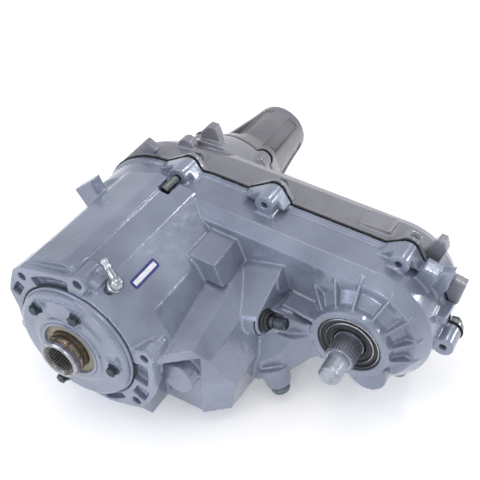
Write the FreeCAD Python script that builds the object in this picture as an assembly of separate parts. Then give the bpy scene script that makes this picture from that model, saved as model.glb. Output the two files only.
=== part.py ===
import FreeCAD, Part
import math
import os
from FreeCAD import Vector

# Part-time chain-drive transfer case, in millimetres.
# Origin: centre of the adapter bolt circle on the input flange face.
# -Y is the input end, +Y the tail, +X runs towards the front output, +Z is up.

# ---- driving dimensions ---------------------------------------------------------------------
CHAIN_PITCH = 9.525
SPROCKET_TEETH = 40
CENTRE_PITCHES = 27
OUT_X = CHAIN_PITCH * CENTRE_PITCHES            # front output axis, from the input axis
CHAIN_R = CHAIN_PITCH / (2 * math.sin(math.pi / SPROCKET_TEETH))
CHAIN_Y0, CHAIN_Y1 = 206.0, 238.0

ADAPTER_R = 92.075                              # half of a 7.25 in bolt circle
ADAPTER_SET_A, ADAPTER_HOLE_A_R = (133.9, 13.9, -106.1), 5.1   # bolt angles, from +X towards +Z
ADAPTER_SET_B, ADAPTER_HOLE_B_R = (81.3, -38.7, -158.7), 5.5
LOW_EARS, LOW_EAR_Y = (-106.1, -158.7), 12.0    # two ears that stand back from the flange face
FLANGE_THICK = 14.0

BARREL_Y0, WALL_Y = 12.0, 168.0                 # planetary barrel, then the chain case
CREASE_Y, SEAM_Y, SEALANT = 180.0, 225.0, 1.0
REAR_Y0 = SEAM_Y + SEALANT
REAR_SHOULDER_Y, REAR_Y1 = 268.0, 294.0
TAIL_Y0, TAIL_Y1 = 341.0, 474.0
WALL = 7.0
CASE_LOBES = ((-33.0, 86.0), (40.0, 91.0), (OUT_X, 80.0))   # x and radius along the chain line

SUN, RING, PLANET = 47, 81, 17                  # reduction 1 + 81/47 = 2.72
MODULE = 1.9
PLANET_R = MODULE * (SUN + PLANET) / 2
PLANET_ANGLES = (45, 135, 225, 315)
GEAR_Y0, GEAR_Y1 = 40.0, 68.0
BACKLASH = 0.12                                 # tooth thinning on each flank

HUB_FACE_Y, HUB_R, INPUT_SPLINE_R = -32.2, 23.8, 17.9
SEAL_Y0, SEAL_Y1, SEAL_BORE_R = -14.3, -5.0, 36.8
RETAINER_R, RETAINER_BOLT_R = 73.5, 58.0
RETAINER_BOLTS, RETAINER_PAD_Y = (130, 74, 1, -108), -12.5
INPUT_BRG = (25.0, 45.0, 4.0, 24.0)             # shaft radius, outer radius, y from, y to
FRONT_OUT_BRG = (17.5, 36.0, 151.0, 168.0)
FRONT_OUT_REAR_BRG = (15.0, 31.0, 262.0, 278.0)
REAR_BRG = (20.0, 40.0, 262.0, 280.0)
RUNNING = 0.05                                  # radial running clearance

OUT_RING_R, OUT_SEAL_R, OUT_FACE_Y = 45.7, 37.0, 140.3
OUT_SPLINE_R, OUT_STUB_R, OUT_TIP_Y, OUT_SPLINE_Y = 16.65, 12.2, 88.3, 115.0
OUT_RIBS, RIB_THICK = (143, 118, 93.5, 64, 38, 13, -12), 3.4

SEAM_BOSSES = ((7, 96), (121, 100), (281, 84), (345, -9), (300, -74), (190, -91),
               (80, -92), (-30, -92), (-104, -58), (-121, 8))
SEAM_BOSS_R = 12.0
REAR_BOSS_Y = 235.0                             # bolt-head face of the rear seam bosses
FAIRED_BOSSES = ((7, 96), (121, 100), (281, 84))
STUD_INDEX = 0
DOWELS, DOWEL_R, DOWEL_DEPTH = ((64, 87.5), (230, -79.5)), 4.0, 6.0
TAPPED_R, CLEAR_R, SHANK_R = 4.0, 4.4, 3.8      # threaded holes, clearance holes and bolt shanks

SECTOR_BOSS_R, SECTOR_BOSS_LENGTH = 17.0, 46.0
SHIFT_TILT = 15.0                               # sector shaft rises this much towards +X
SHIFT_POINT = Vector(166, 120, 10)              # where the sector shaft leaves its boss
SECTOR_BOSS_RUN = Vector(2, 44, 27)             # the boss runs back this far into the chain-case wall
RAIL_X, RAIL_Z, RAIL_R = 105.0, 0.0, 8.0
RANGE_STROKE, SECTOR_SWING = 14.0, 40.0

PLUG_TILT, PLUG_BOSS_LENGTH = 17.0, 30.0
PLUG_AXIS = Vector(math.sin(math.radians(PLUG_TILT)), 0, -math.cos(math.radians(PLUG_TILT)))
PLUG_SEAT = Vector(187.2, 118, -79.0)           # where the range switch plug is seated
PLUG_ROOT = PLUG_SEAT - PLUG_AXIS * PLUG_BOSS_LENGTH

DETENT_X, DETENT_BORE_R = 125.0, 4.1
PIN_R, PIN_HEIGHT, PIN_PLAY = 3.2, -15.0, 1.5   # range-fork pin in the sector slot
TAIL_BOLTS, TAIL_BOLT_R = (48, 138, 228, 318), 66.0
FILL_X, FILL_Z = 128.0, 28.0
DRAIN_X, DRAIN_Z = 176.0, -58.0
CREST, FLANK_FOOT = (36.0, 93.0), (81.0, 58.0)  # barrel facet that carries the label and the vent
VENT_Y, VENT_ACROSS = 20.6, 19.0
LABEL_Y0, LABEL_Y1, LABEL_ACROSS0, LABEL_ACROSS1 = 37.5, 80.5, -1.0, 10.5

# ---- small geometry helpers -----------------------------------------------------------------
def rod(x, z, r, y0, y1):
    return Part.makeCylinder(r, y1 - y0, Vector(x, y0, z), Vector(0, 1, 0))


def tube(x, z, r_in, r_out, y0, y1):
    return rod(x, z, r_out, y0, y1).cut(rod(x, z, r_in, y0 - 1, y1 + 1))


def cone(x, z, r0, r1, y0, y1):
    return Part.makeCone(r0, r1, y1 - y0, Vector(x, y0, z), Vector(0, 1, 0))


def box(x0, x1, y0, y1, z0, z1):
    return Part.makeBox(x1 - x0, y1 - y0, z1 - z0, Vector(x0, y0, z0))


def polar(r, deg, y=0.0, x=0.0, z=0.0):
    a = math.radians(deg)
    return Vector(x + r * math.cos(a), y, z + r * math.sin(a))


def ring_points(r, angles):
    """The x and z of points on a circle round the input axis."""
    return [(r * math.cos(math.radians(a)), r * math.sin(math.radians(a))) for a in angles]


def rods(points, r, y0, y1):
    return [rod(x, z, r, y0, y1) for x, z in points]


def sector_axis():
    return Vector(math.cos(math.radians(SHIFT_TILT)), 0, math.sin(math.radians(SHIFT_TILT)))


def prism(points, y0, y1):
    wire = Part.makePolygon([Vector(x, y0, z) for x, z in points + points[:1]])
    return Part.Face(wire).extrude(Vector(0, y1 - y0, 0))


def upright(plan):
    """Vertical solid over an outline of x and y, taller than the case both ways."""
    floor = [Vector(x, y, -120) for x, y in plan]
    return Part.Face(Part.makePolygon(floor + floor[:1])).extrude(Vector(0, 0, 240))


def loft(wires):
    return Part.makeLoft(wires, True, True)


def join(first, *others):
    return first.multiFuse(list(others)).removeSplitter()


def group(solids):
    return Part.makeCompound(solids)


def rounded_wire(points, radii, y):
    """Closed outline in a plane of constant y, with an arc of its own radius at each corner."""
    edges = []
    starts = []
    count = len(points)
    for i, ((x, z), r) in enumerate(zip(points, radii)):
        corner = Vector(x, y, z)
        back = (Vector(points[i - 1][0], y, points[i - 1][1]) - corner).normalize()
        ahead = (Vector(points[(i + 1) % count][0], y, points[(i + 1) % count][1]) - corner).normalize()
        half = back.getAngle(ahead) / 2
        reach = r / math.tan(half)
        middle = corner + (back + ahead).normalize() * (r / math.sin(half) - r)
        starts.append((corner + back * reach, middle, corner + ahead * reach))
    for i, (a, m, b) in enumerate(starts):
        edges.append(Part.Arc(a, m, b).toShape())
        edges.append(Part.makeLine(b, starts[(i + 1) % count][0]))
    return Part.Wire(edges)


def belt_wire(grow, y):
    """Outline round the three case lobes, moved outwards by grow."""
    tops = []
    for (x0, r0), (x1, r1) in zip(CASE_LOBES, CASE_LOBES[1:]):
        lean = math.degrees(math.asin((r0 - r1) / (x1 - x0)))
        tops.append(90 - lean)
    (xa, ra), (xb, rb), (xc, rc) = [(x, r + grow) for x, r in CASE_LOBES]
    first, second = tops
    edges = [
        Part.Arc(polar(ra, -first, y, xa), polar(ra, 180, y, xa), polar(ra, first, y, xa)).toShape(),
        Part.makeLine(polar(ra, first, y, xa), polar(rb, first, y, xb)),
        Part.Arc(polar(rb, first, y, xb), polar(rb, (first + second) / 2, y, xb),
                 polar(rb, second, y, xb)).toShape(),
        Part.makeLine(polar(rb, second, y, xb), polar(rc, second, y, xc)),
        Part.Arc(polar(rc, second, y, xc), polar(rc, 0, y, xc), polar(rc, -second, y, xc)).toShape(),
        Part.makeLine(polar(rc, -second, y, xc), polar(rb, -second, y, xb)),
        Part.Arc(polar(rb, -second, y, xb), polar(rb, -(first + second) / 2, y, xb),
                 polar(rb, -first, y, xb)).toShape(),
        Part.makeLine(polar(rb, -first, y, xb), polar(ra, -first, y, xa)),
    ]
    return Part.Wire(edges)


def belt(grow, y0, y1):
    return Part.Face(belt_wire(grow, y0)).extrude(Vector(0, y1 - y0, 0))


def gear_outline(teeth, r_root, r_tip, thinning, phase, cx=0.0, cz=0.0):
    """Involute outline; with negative thinning it is the tooth-space outline of a ring gear."""
    pitch_r = MODULE * teeth / 2
    base_r = pitch_r * math.cos(math.radians(20))
    inv20 = math.tan(math.radians(20)) - math.radians(20)

    def half_angle(r):
        a = math.acos(min(1.0, base_r / r))
        return math.pi / (2 * teeth) - thinning / pitch_r + inv20 - (math.tan(a) - a)

    flank = sorted({r_root, max(r_root, base_r), pitch_r, r_tip})
    points = []
    for k in range(teeth):
        mid = math.radians(phase) + 2 * math.pi * k / teeth
        for side in (-1, 1):
            for r in (flank if side < 0 else flank[::-1]):
                a = mid + side * half_angle(max(r, base_r))
                points.append((cx + r * math.cos(a), cz + r * math.sin(a)))
    return points


def toothed(teeth, r_root, r_tip, y0, y1, x=0.0, z=0.0, fill=0.5, taper=0.8, phase=0.0):
    """Simple straight-sided spline or dog teeth as a solid."""
    step = 2 * math.pi / teeth
    points = []
    for k in range(teeth):
        mid = math.radians(phase) + k * step
        for r, f in ((r_root, -fill), (r_tip, -fill * taper), (r_tip, fill * taper), (r_root, fill)):
            points.append((x + r * math.cos(mid + f * step / 2), z + r * math.sin(mid + f * step / 2)))
    return prism(points, y0, y1)


def bolt(point, direction, shank_r, shank, head_r, head):
    """Hexagon flange bolt: the shank runs along direction from the seat, the head the other way."""
    d = Vector(direction).normalize()
    flange = Part.makeCylinder(head_r * 1.18, head * 0.22, point, d * -1)
    corner = FreeCAD.Rotation(Vector(0, 0, 1), d * -1)
    ring = [point + corner.multVec(Vector(head_r * math.cos(math.radians(a)),
                                          head_r * math.sin(math.radians(a)), 0))
            for a in range(0, 361, 60)]
    hexagon = Part.Face(Part.makePolygon(ring)).extrude(d * -head)
    return flange.fuse([hexagon, Part.makeCylinder(shank_r, shank, point, d)])


def bearing(x, r_in, r_out, y0, y1, balls):
    """Deep-groove ball bearing: two rings and a circle of balls, as separate solids."""
    mid, ball = (r_in + r_out) / 2, (r_out - r_in) * 0.29
    yc = (y0 + y1) / 2
    groove = Part.makeTorus(mid, ball + 0.1, Vector(x, yc, 0), Vector(0, 1, 0))
    inner = tube(x, 0, r_in + RUNNING, mid - ball * 0.45, y0, y1).cut(groove)
    outer = tube(x, 0, mid + ball * 0.45, r_out, y0, y1).cut(groove)
    spheres = [Part.makeSphere(ball, polar(mid, 360 * k / balls, yc, x)) for k in range(balls)]
    return group([inner, outer] + spheres)


def lip_seal(x, r_shaft, r_out, y0, y1):
    """Radial shaft seal: a cup section turned round the axis, with a dust lip in front."""
    lip = r_shaft + RUNNING
    section = [(r_out, y0), (r_out, y1), (r_out - 2, y1), (r_out - 2.5, y0 + 3.5), (lip + 3, y0 + 3.5),
               (lip + 2, y1 - 1), (lip, y1 - 3), (lip + 0.8, y0 + 1), (lip + 3, y0 + 0.4),
               (lip + 5, y0 + 1.6), (r_out - 5, y0 + 1.6), (r_out - 3, y0)]
    wire = Part.makePolygon([Vector(x + r, y, 0) for r, y in section + section[:1]])
    return Part.Face(wire).revolve(Vector(x, 0, 0), Vector(0, 1, 0), 360)


# ---- housings -------------------------------------------------------------------------------
BARREL_SECTION = [CREST, (-12, 102), (-58, 87), (-90, 53), (-103, 10), (-98, -38), (-70, -74),
                  (-30, -97), (22, -99), (62, -86), (100, -20), (101, 22), FLANK_FOOT]
BARREL_RADII = [3, 14, 20, 20, 30, 30, 30, 30, 20, 20, 20, 8, 8]


def barrel_body():
    """Faceted planetary housing: a short cone from the retainer, then a straight prism."""
    nose_scale = 0.79
    nose = [(x * nose_scale, z * nose_scale) for x, z in BARREL_SECTION]
    nose_wire = rounded_wire(nose, [r * nose_scale for r in BARREL_RADII], 0.5)
    root_wire = rounded_wire(BARREL_SECTION, BARREL_RADII, 34.0)
    back_wire = rounded_wire(BARREL_SECTION, BARREL_RADII, WALL_Y + 20)
    ridge = box(-2, 4, BARREL_Y0, WALL_Y, 90, 102.2)
    return join(loft([nose_wire, root_wire]), loft([root_wire, back_wire]), ridge)


def flange_outline(angles_and_radii):
    return [ring_points(r, [a])[0] for a, r in angles_and_radii]


def adapter_flange():
    """Two scalloped arms of the adapter flange, with the six bolt bosses and the pockets between."""
    left = [(76, 84), (81, 99), (88, 98), (96, 95), (118, 97), (129, 103), (137, 104), (146, 99),
            (158, 95), (166, 86), (176, 79), (192, 77.5), (222, 77.5), (240, 77.5), (262, 78),
            (262, 70), (200, 70), (140, 70), (76, 70)]
    right = [(262, 78), (276, 82), (292, 88), (311, 96), (320, 103), (333, 102), (350, 101),
             (365, 99.5), (374, 100), (381, 96), (381, 74), (330, 70), (262, 70)]
    plate = prism(flange_outline(left), 0, FLANGE_THICK).fuse(
        prism(flange_outline(right), 0, FLANGE_THICK))
    level = [a for a in ADAPTER_SET_A + ADAPTER_SET_B if a not in LOW_EARS]
    bosses = rods(ring_points(ADAPTER_R, level), 11, 0, 30)
    return plate.multiFuse(bosses + rods(ring_points(ADAPTER_R, LOW_EARS), 11, LOW_EAR_Y, 30))


def flange_pockets():
    """Blind pockets in the flange face; those that start at the retainer's edge are open to it."""
    cuts = []
    for a0, a1, r0, r1 in ((142, 156, 81, 91), (345, 366, 74, 92), (328, 340, 81, 97),
                           (290, 313, 74, 84), (90, 126, 74, 87)):
        steps = [a0 + (a1 - a0) * k / 8 for k in range(9)]
        cuts.append(prism(ring_points(r1, steps) + ring_points(r0, steps[::-1]), -1, 9))
    return cuts


GUSSET_FRONT = [(50, 30), (99, 17), (128, 17), (137, -5), (158, -60), (156, -84), (30, -84)]
GUSSET_REAR = [(50, 50), (92, 46), (116, 42), (150, 26), (170, -15), (162, -84), (30, -84)]
GUSSET_Y0, GUSSET_Y1 = 10.0, 176.0


def gusset_body():
    """Wedge between barrel and chain case that houses the shift sector, with its two raised steps."""
    front = Part.makePolygon([Vector(x, GUSSET_Y0, z) for x, z in GUSSET_FRONT + GUSSET_FRONT[:1]])
    rear = Part.makePolygon([Vector(x, GUSSET_Y1, z) for x, z in GUSSET_REAR + GUSSET_REAR[:1]])
    wedge = loft([front, rear])
    slant = upright([(20, -20), (68, -20), (100, 12), (160, 62), (260, 66), (260, -20)])
    wedge = wedge.cut([slant, box(84, 132, 0, 42, -120, 8)])
    step = prism([(60, 40), (72, 69), (104, 66), (116, 38)], 116, WALL_Y + 4)
    return join(wedge, step)


def sector_boss():
    """Long boss that guides the sector shaft and runs back into the chain-case wall."""
    back = sector_axis() * -SECTOR_BOSS_LENGTH
    far_point = SHIFT_POINT + SECTOR_BOSS_RUN
    ends = [Part.makeCylinder(SECTOR_BOSS_R, SECTOR_BOSS_LENGTH, point + back, sector_axis())
            for point in (SHIFT_POINT, far_point)]
    across = Vector(0, SECTOR_BOSS_RUN.y, SECTOR_BOSS_RUN.z).normalize()
    side = across.cross(sector_axis()) * SECTOR_BOSS_R
    corners = [SHIFT_POINT + side, SHIFT_POINT - side, far_point - side, far_point + side]
    face = Part.Face(Part.makePolygon(corners + corners[:1]))
    return face.extrude(back).multiFuse(ends)


def output_boss():
    """Front output nose: a ring on a cone, braced by radial ribs with ramps between them."""
    ring = rod(OUT_X, 0, OUT_RING_R, OUT_FACE_Y, WALL_Y + 4)
    lip = cone(OUT_X, 0, 47, 58, 156, WALL_Y)
    ribs = []
    for a in OUT_RIBS:
        tip, root = polar(70, a, 0, OUT_X), polar(40, a, 0, OUT_X)
        outline = [Vector(40, 147, 0), Vector(47, 147, 0), Vector(70, 165, 0), Vector(74, 172, 0),
                   Vector(40, 172, 0), Vector(40, 147, 0)]
        rib = Part.Face(Part.makePolygon(outline)).extrude(Vector(0, 0, RIB_THICK))
        rib.translate(Vector(0, 0, -RIB_THICK / 2))
        rib.rotate(Vector(0, 0, 0), Vector(0, 1, 0), -a)
        rib.translate(Vector(OUT_X, 0, 0))
        ribs.append(rib)
    web_up = prism([(176, 22), (216, 16), (216, 12), (176, 18)], 140, 172)
    web_low = prism([(178, -6), (214, -12), (214, -16), (178, -10)], 140, 172)
    lobe = rod(OUT_X + 22, -46, 23, 150, SEAM_Y)
    return ring.multiFuse([lip, web_up, web_low, lobe] + ribs)


def plug_boss():
    """Angled boss low on the case for the range switch plug, wider where it leaves the case."""
    return Part.makeCone(19, 15, PLUG_BOSS_LENGTH, PLUG_ROOT, PLUG_AXIS)


def saddle():
    """Web between the gusset and the front output nose, sloping back towards the nose."""
    front_view = prism([(120, -82), (168, -72), (190, -64), (204, -56), (222, -44), (244, -34),
                        (244, 4), (205, 6), (186, 16), (120, 16)], 100, 176)
    upper = upright([(120, 112), (168, 122), (190, 131), (214, 143), (244, 152), (244, 176), (120, 176)])
    lower = upright([(120, 103), (170, 103), (192, 114), (214, 143), (214, 176), (120, 176)])
    slope = [Vector(110, y, z) for y, z in ((176, -8), (124, -8), (102, -44), (102, -84), (176, -84))]
    toe = Part.Face(Part.makePolygon(slope + slope[:1])).extrude(Vector(110, 0, 0))
    return front_view.common(upper).fuse(front_view.common(lower).common(toe))


def seam_bosses(y0, y1):
    """Bolt bosses along the case joint, each with a second lobe that ties it to the case."""
    solids = []
    for x, z in SEAM_BOSSES:
        solids.append(rod(x, z, SEAM_BOSS_R, y0, y1))
        towards = Vector(min(max(x, 0), OUT_X) - x, 0, -z).normalize() * 18
        solids.append(rod(x + towards.x, z + towards.z, SEAM_BOSS_R, y0, y1))
    return solids


def boss_fairings(y0, y1):
    """Ramps along the seam that run up to the top bosses."""
    return [prism([(x - 34, z - 6), (x - 8, z + 9.5), (x + 8, z + 9.5), (x + 20, z - 8)], y0, y1)
            for x, z in FAIRED_BOSSES]


def front_case():
    shell = loft([belt_wire(-13, WALL_Y - 2), belt_wire(0, CREASE_Y)])
    shell = shell.fuse([belt(0, CREASE_Y, SEAM_Y), belt(3, SEAM_Y - 7, SEAM_Y)])
    shift_housing_boss = rod(110, -22, 20, 24, 64)
    body = shell.multiFuse([barrel_body(), adapter_flange(), gusset_body(), sector_boss(),
                            output_boss(), plug_boss(), saddle(), shift_housing_boss]
                           + seam_bosses(196, SEAM_Y) + boss_fairings(207, SEAM_Y) + front_lugs())
    body = body.cut(flange_pockets() + front_cavities() + front_bores() + front_bolt_holes())
    return body.fuse(detent_tower()).removeSplitter()


def front_cavities():
    """Spaces for the planetary set, the chain and the shift sector."""
    return [rod(0, 0, 88, 29, 74), rod(0, 0, 90, 72, WALL_Y + 8),
            belt(-WALL, WALL_Y + 8, SEAM_Y + 1), gusset_cavity()]


def front_bores():
    """Machined seats: retainer, bearings, seals, shift rail, sector shaft, detent, switch and vent."""
    vent = flank_point(VENT_Y, VENT_ACROSS)
    detent_foot = Vector(DETENT_X, SHIFT_POINT.y, -100)
    return [rod(0, 0, 75.2, -2, 3),
            rod(0, 0, INPUT_BRG[1], -2, 40),
            rod(0, 0, 64, 3, 5),
            rod(OUT_X, 0, OUT_SEAL_R, OUT_FACE_Y - 1, 151),
            rod(OUT_X, 0, FRONT_OUT_BRG[1], 150, WALL_Y + 1),
            rod(OUT_X, 0, 33, WALL_Y - 1, WALL_Y + 9),
            rod(RAIL_X, RAIL_Z, RAIL_R, 50, 80),
            along_sector(-60, 80, 8.5),
            along_sector(-2, 20, 12.5),
            Part.makeCylinder(8, 40, PLUG_SEAT - PLUG_AXIS * 39, PLUG_AXIS),
            Part.makeCylinder(DETENT_BORE_R, 60, detent_foot, Vector(0, 0, 1)),
            Part.makeCylinder(5.0, 20, vent - flank_normal() * 12, flank_normal())]


def front_bolt_holes():
    stud = [SEAM_BOSSES[STUD_INDEX]]
    return (rods(stud, 8.2, WALL_Y - 4, 196)
            + rods(ring_points(ADAPTER_R, ADAPTER_SET_A), ADAPTER_HOLE_A_R, -1, 24)
            + rods(ring_points(ADAPTER_R, ADAPTER_SET_B), ADAPTER_HOLE_B_R, -1, 24)
            + rods(ring_points(RETAINER_BOLT_R, RETAINER_BOLTS), TAPPED_R, -1, 28)
            + rods(SEAM_BOSSES, TAPPED_R, 190, SEAM_Y + 1)
            + rods(DOWELS, DOWEL_R, SEAM_Y - DOWEL_DEPTH - 0.5, SEAM_Y + 1))


def front_lugs():
    """Small cast lugs: left side of the barrel, right-hand end of the chain case."""
    left = prism([(-60, 74), (-72, 101), (-99, 78), (-80, 52)], 136, 152)
    right_a = prism([(290, 50), (314, 44), (322, 80), (305, 84)], 204, SEAM_Y)
    right_b = prism([(312, 44), (324, 36), (333, 58), (336, 84), (319, 78)], 213, SEAM_Y)
    arm = prism([(300, 20), (342, 25), (342, 34), (300, 32)], 196, SEAM_Y)
    return [left, right_a, right_b, arm]


def gusset_cavity():
    inner_front = [(60, 21), (96, 21), (124, 19), (134, 2), (150, -42), (149, -76), (40, -76)]
    inner_rear = [(50, 38), (90, 38), (114, 35), (143, 20), (161, -18), (154, -76), (30, -76)]
    front = Part.makePolygon([Vector(x, 80, z) for x, z in inner_front + inner_front[:1]])
    rear = Part.makePolygon([Vector(x, GUSSET_Y1 + 4, z) for x, z in inner_rear + inner_rear[:1]])
    return loft([front, rear])


def detent_tower():
    """Guide tube for the detent plunger, standing on the floor of the shift chamber."""
    foot = Vector(DETENT_X, SHIFT_POINT.y, -80)
    tower = Part.makeCylinder(9, 44, foot, Vector(0, 0, 1))
    return tower.cut(Part.makeCylinder(DETENT_BORE_R, 70, foot - Vector(0, 0, 20), Vector(0, 0, 1)))


def rear_lugs():
    """Cast tabs and fins on the rear half: top tab, pad, side fins and the right-hand lug."""
    return [prism([(-24, 60), (-20, 96), (-10, 108), (0, 108), (5, 98), (12, 60)], 290, 303),
            box(218, 256, 236, 262, 60, 89.5),
            prism([(-113, 46), (-61, 105), (-44, 96), (-80, 40)], 228, 240),
            prism([(297, 52), (308, 52), (319, 86), (315, 98), (308, 99), (290, 66)], 238, 252),
            prism([(318, 30), (327, 44), (335, 64), (349, 61), (345, 32), (338, 24)], REAR_Y0, 238),
            rod(-25, 88, 11, 262, 276)]


def rear_case():
    shell = belt(0, REAR_Y0, REAR_SHOULDER_Y).fuse(
        [loft([belt_wire(0, REAR_SHOULDER_Y), belt_wire(-7, 283)]),
         loft([belt_wire(-7, 283), belt_wire(-22, REAR_Y1)]),
         belt(3, REAR_Y0, REAR_Y0 + 8)])
    neck = cone(0, 0, 92, 66, 280, 340)
    tail_points = ring_points(TAIL_BOLT_R, TAIL_BOLTS)
    plug_points = ((FILL_X, FILL_Z), (DRAIN_X, DRAIN_Z))
    output_cup = cone(OUT_X, 0, 50, 42, 285, 300)
    cavity = belt(-WALL, REAR_Y0 - 1, 262).fuse(
        loft([belt_wire(-WALL, 262), belt_wire(-20, 286)]))
    inner_bosses = [rod(0, 0, 49, 262, 290), rod(OUT_X, 0, 38, 262, 290), rod(RAIL_X, RAIL_Z, 13, 262, 290)]
    inner_bosses += rods(plug_points, 14, 272, 290)
    outside = shell.multiFuse([neck, output_cup] + rear_lugs() + rods(tail_points, 11.4, 322, 340)
                              + seam_bosses(REAR_Y0, REAR_BOSS_Y) + boss_fairings(REAR_Y0, REAR_BOSS_Y))
    body = outside.cut(cavity).multiFuse(inner_bosses)
    cuts = [rod(0, 0, REAR_BRG[1], 260, REAR_BRG[3]), rod(0, 0, 30, 270, 300),
            cone(0, 0, 70, 56, 294, 341), rod(OUT_X, 0, FRONT_OUT_REAR_BRG[1], 260, FRONT_OUT_REAR_BRG[3]),
            rod(RAIL_X, RAIL_Z, RAIL_R, 261, 276)]
    cuts += rods(SEAM_BOSSES, CLEAR_R, REAR_Y0 - 1, REAR_BOSS_Y + 1)
    cuts += rods(SEAM_BOSSES, 9.6, REAR_BOSS_Y, 262)
    cuts += rods(DOWELS, DOWEL_R, REAR_Y0 - 1, REAR_Y0 + DOWEL_DEPTH + 0.5)
    cuts += rods(tail_points, TAPPED_R, 318, 341)
    cuts += rods(plug_points, 9.0, 255, 300)
    return body.cut(cuts).removeSplitter()


def tail_housing():
    """Extension housing: joint flange with four lobes, then a tapered barrel with long flutes."""
    bolt_points = ring_points(TAIL_BOLT_R, TAIL_BOLTS)
    lobes = rods(bolt_points, 11, TAIL_Y0, TAIL_Y0 + 10)
    body = cone(0, 0, 64, 62, TAIL_Y0, TAIL_Y0 + 9).multiFuse(
        [cone(0, 0, 61, 51, TAIL_Y0 + 9, TAIL_Y0 + 34), cone(0, 0, 51, 42, TAIL_Y0 + 34, 440),
         cone(0, 0, 42, 38.5, 440, TAIL_Y1)] + lobes)
    flutes = []
    for k in range(6):
        wedge = prism([(34, -8), (34, 8), (60, 12), (60, -12)], TAIL_Y0 + 24, TAIL_Y1 - 12)
        wedge.rotate(Vector(0, 0, 0), Vector(0, 1, 0), 60 * k + 12)
        flutes.append(wedge.cut(cone(0, 0, 41, 36.8, TAIL_Y0, TAIL_Y1)))
    cuts = flutes + [rod(0, 0, 50, TAIL_Y0 - 1, TAIL_Y0 + 8), cone(0, 0, 50, 33, TAIL_Y0 + 7, TAIL_Y0 + 34),
                     rod(0, 0, 32, TAIL_Y0 + 30, 430), rod(0, 0, 27, 429, 464),
                     rod(0, 0, 32.5, 463, TAIL_Y1 + 1)]
    cuts += rods(bolt_points, CLEAR_R, TAIL_Y0 - 1, TAIL_Y0 + 12)
    cuts += rods(bolt_points, 8.7, TAIL_Y0 + 10, TAIL_Y0 + 30)
    return body.cut(cuts).removeSplitter()


def case_sealant():
    inside = belt(-4, SEAM_Y - 1, REAR_Y0 + 1)
    ring = belt(3.7, SEAM_Y, REAR_Y0)
    ears = rods(SEAM_BOSSES, SEAM_BOSS_R + 0.8, SEAM_Y, REAR_Y0)
    holes = rods(SEAM_BOSSES + DOWELS, 4.6, SEAM_Y - 1, REAR_Y0 + 1)
    return ring.multiFuse(ears + boss_fairings(SEAM_Y, REAR_Y0)).cut(holes + [inside]).removeSplitter()


def retainer_sealant():
    return tube(0, 0, 66, RETAINER_R + 1.4, 2.2, 3.0)


def tail_sealant():
    bolt_points = ring_points(TAIL_BOLT_R, TAIL_BOLTS)
    disc = rod(0, 0, 64.7, 340, TAIL_Y0).multiFuse(rods(bolt_points, 11.7, 340, TAIL_Y0))
    return disc.cut(rods(bolt_points, 4.6, 339, 342) + [rod(0, 0, 53, 339, 342)]).removeSplitter()


# ---- input side -----------------------------------------------------------------------------
PLANET_POINTS = ring_points(PLANET_R, PLANET_ANGLES)
PLANET_PIN_R = 7.0


def bearing_retainer():
    """Stepped retainer: flange, raised collar, three bolt lobes and the seal housing."""
    profile = [(SEAL_BORE_R, SEAL_Y0), (41.5, SEAL_Y0), (43, -11), (52, -9), (60, -8), (67, -3.5),
               (RETAINER_R, -1), (RETAINER_R, 2.2), (SEAL_BORE_R, 2.2)]
    body = Part.Face(Part.makePolygon([Vector(r, y, 0) for r, y in profile + profile[:1]])).revolve(
        Vector(0, 0, 0), Vector(0, 1, 0), 360)
    bolt_points = ring_points(RETAINER_BOLT_R, RETAINER_BOLTS)
    pads = rods(bolt_points, 8.5, RETAINER_PAD_Y, 0) + rods(ring_points(46, RETAINER_BOLTS), 8, -12, 0)
    web = rods(ring_points(52, (92, 104, 116)), 13, -11.5, 0)
    bores = [rod(0, 0, SEAL_BORE_R, -20, SEAL_Y1), rod(0, 0, 31, -6, 4)]
    return body.multiFuse(pads + web).cut(bores + rods(bolt_points, TAPPED_R, -15, 4)).removeSplitter()


def retainer_bolts():
    return group([bolt(polar(RETAINER_BOLT_R, a, RETAINER_PAD_Y), Vector(0, 1, 0), SHANK_R, 34, 6.6, 6.5)
                  for a in RETAINER_BOLTS])


def input_gear():
    body = rod(0, 0, HUB_R, HUB_FACE_Y, INPUT_BRG[2]).multiFuse(
        [rod(0, 0, INPUT_BRG[0], INPUT_BRG[2], 25), rod(0, 0, 30, 24.4, 28), rod(0, 0, 27, 28, GEAR_Y0),
         prism(gear_outline(SUN, MODULE * (SUN / 2 - 1.2), MODULE * (SUN / 2 + 0.95), BACKLASH, 0),
               GEAR_Y0, GEAR_Y1),
         rod(0, 0, 36, GEAR_Y1, 70)])
    groove = tube(0, 0, 21.6, 26, -27.5, -24.5)
    chamfer = tube(0, 0, 22.6, 26, HUB_FACE_Y - 1, HUB_FACE_Y + 1.2)
    female = toothed(32, 16.6, INPUT_SPLINE_R, HUB_FACE_Y - 1, 20)
    mouth = cone(0, 0, 19.4, 16.6, HUB_FACE_Y, HUB_FACE_Y + 2.8)
    clutch = toothed(24, 27.8, 30, 52, 71, fill=0.55)
    return body.cut([groove, chamfer, female, mouth, rod(0, 0, 15, 32, 60), clutch]).removeSplitter()


def input_bearing():
    return bearing(0, *INPUT_BRG[:2], INPUT_BRG[2], INPUT_BRG[3], 10)


def input_snap_ring():
    return tube(0, 0, 38.0, 44.8, 24.5, 26.5).cut(box(-6, 6, 24, 27, -50, -30))


def annulus_gear():
    tooth_space = gear_outline(RING, MODULE * (RING / 2 - 0.9), MODULE * (RING / 2 + 1.25), -BACKLASH, 0)
    return rod(0, 0, 88, GEAR_Y0 - 1, GEAR_Y1 + 1).cut(prism(tooth_space, GEAR_Y0 - 2, GEAR_Y1 + 2))


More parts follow.
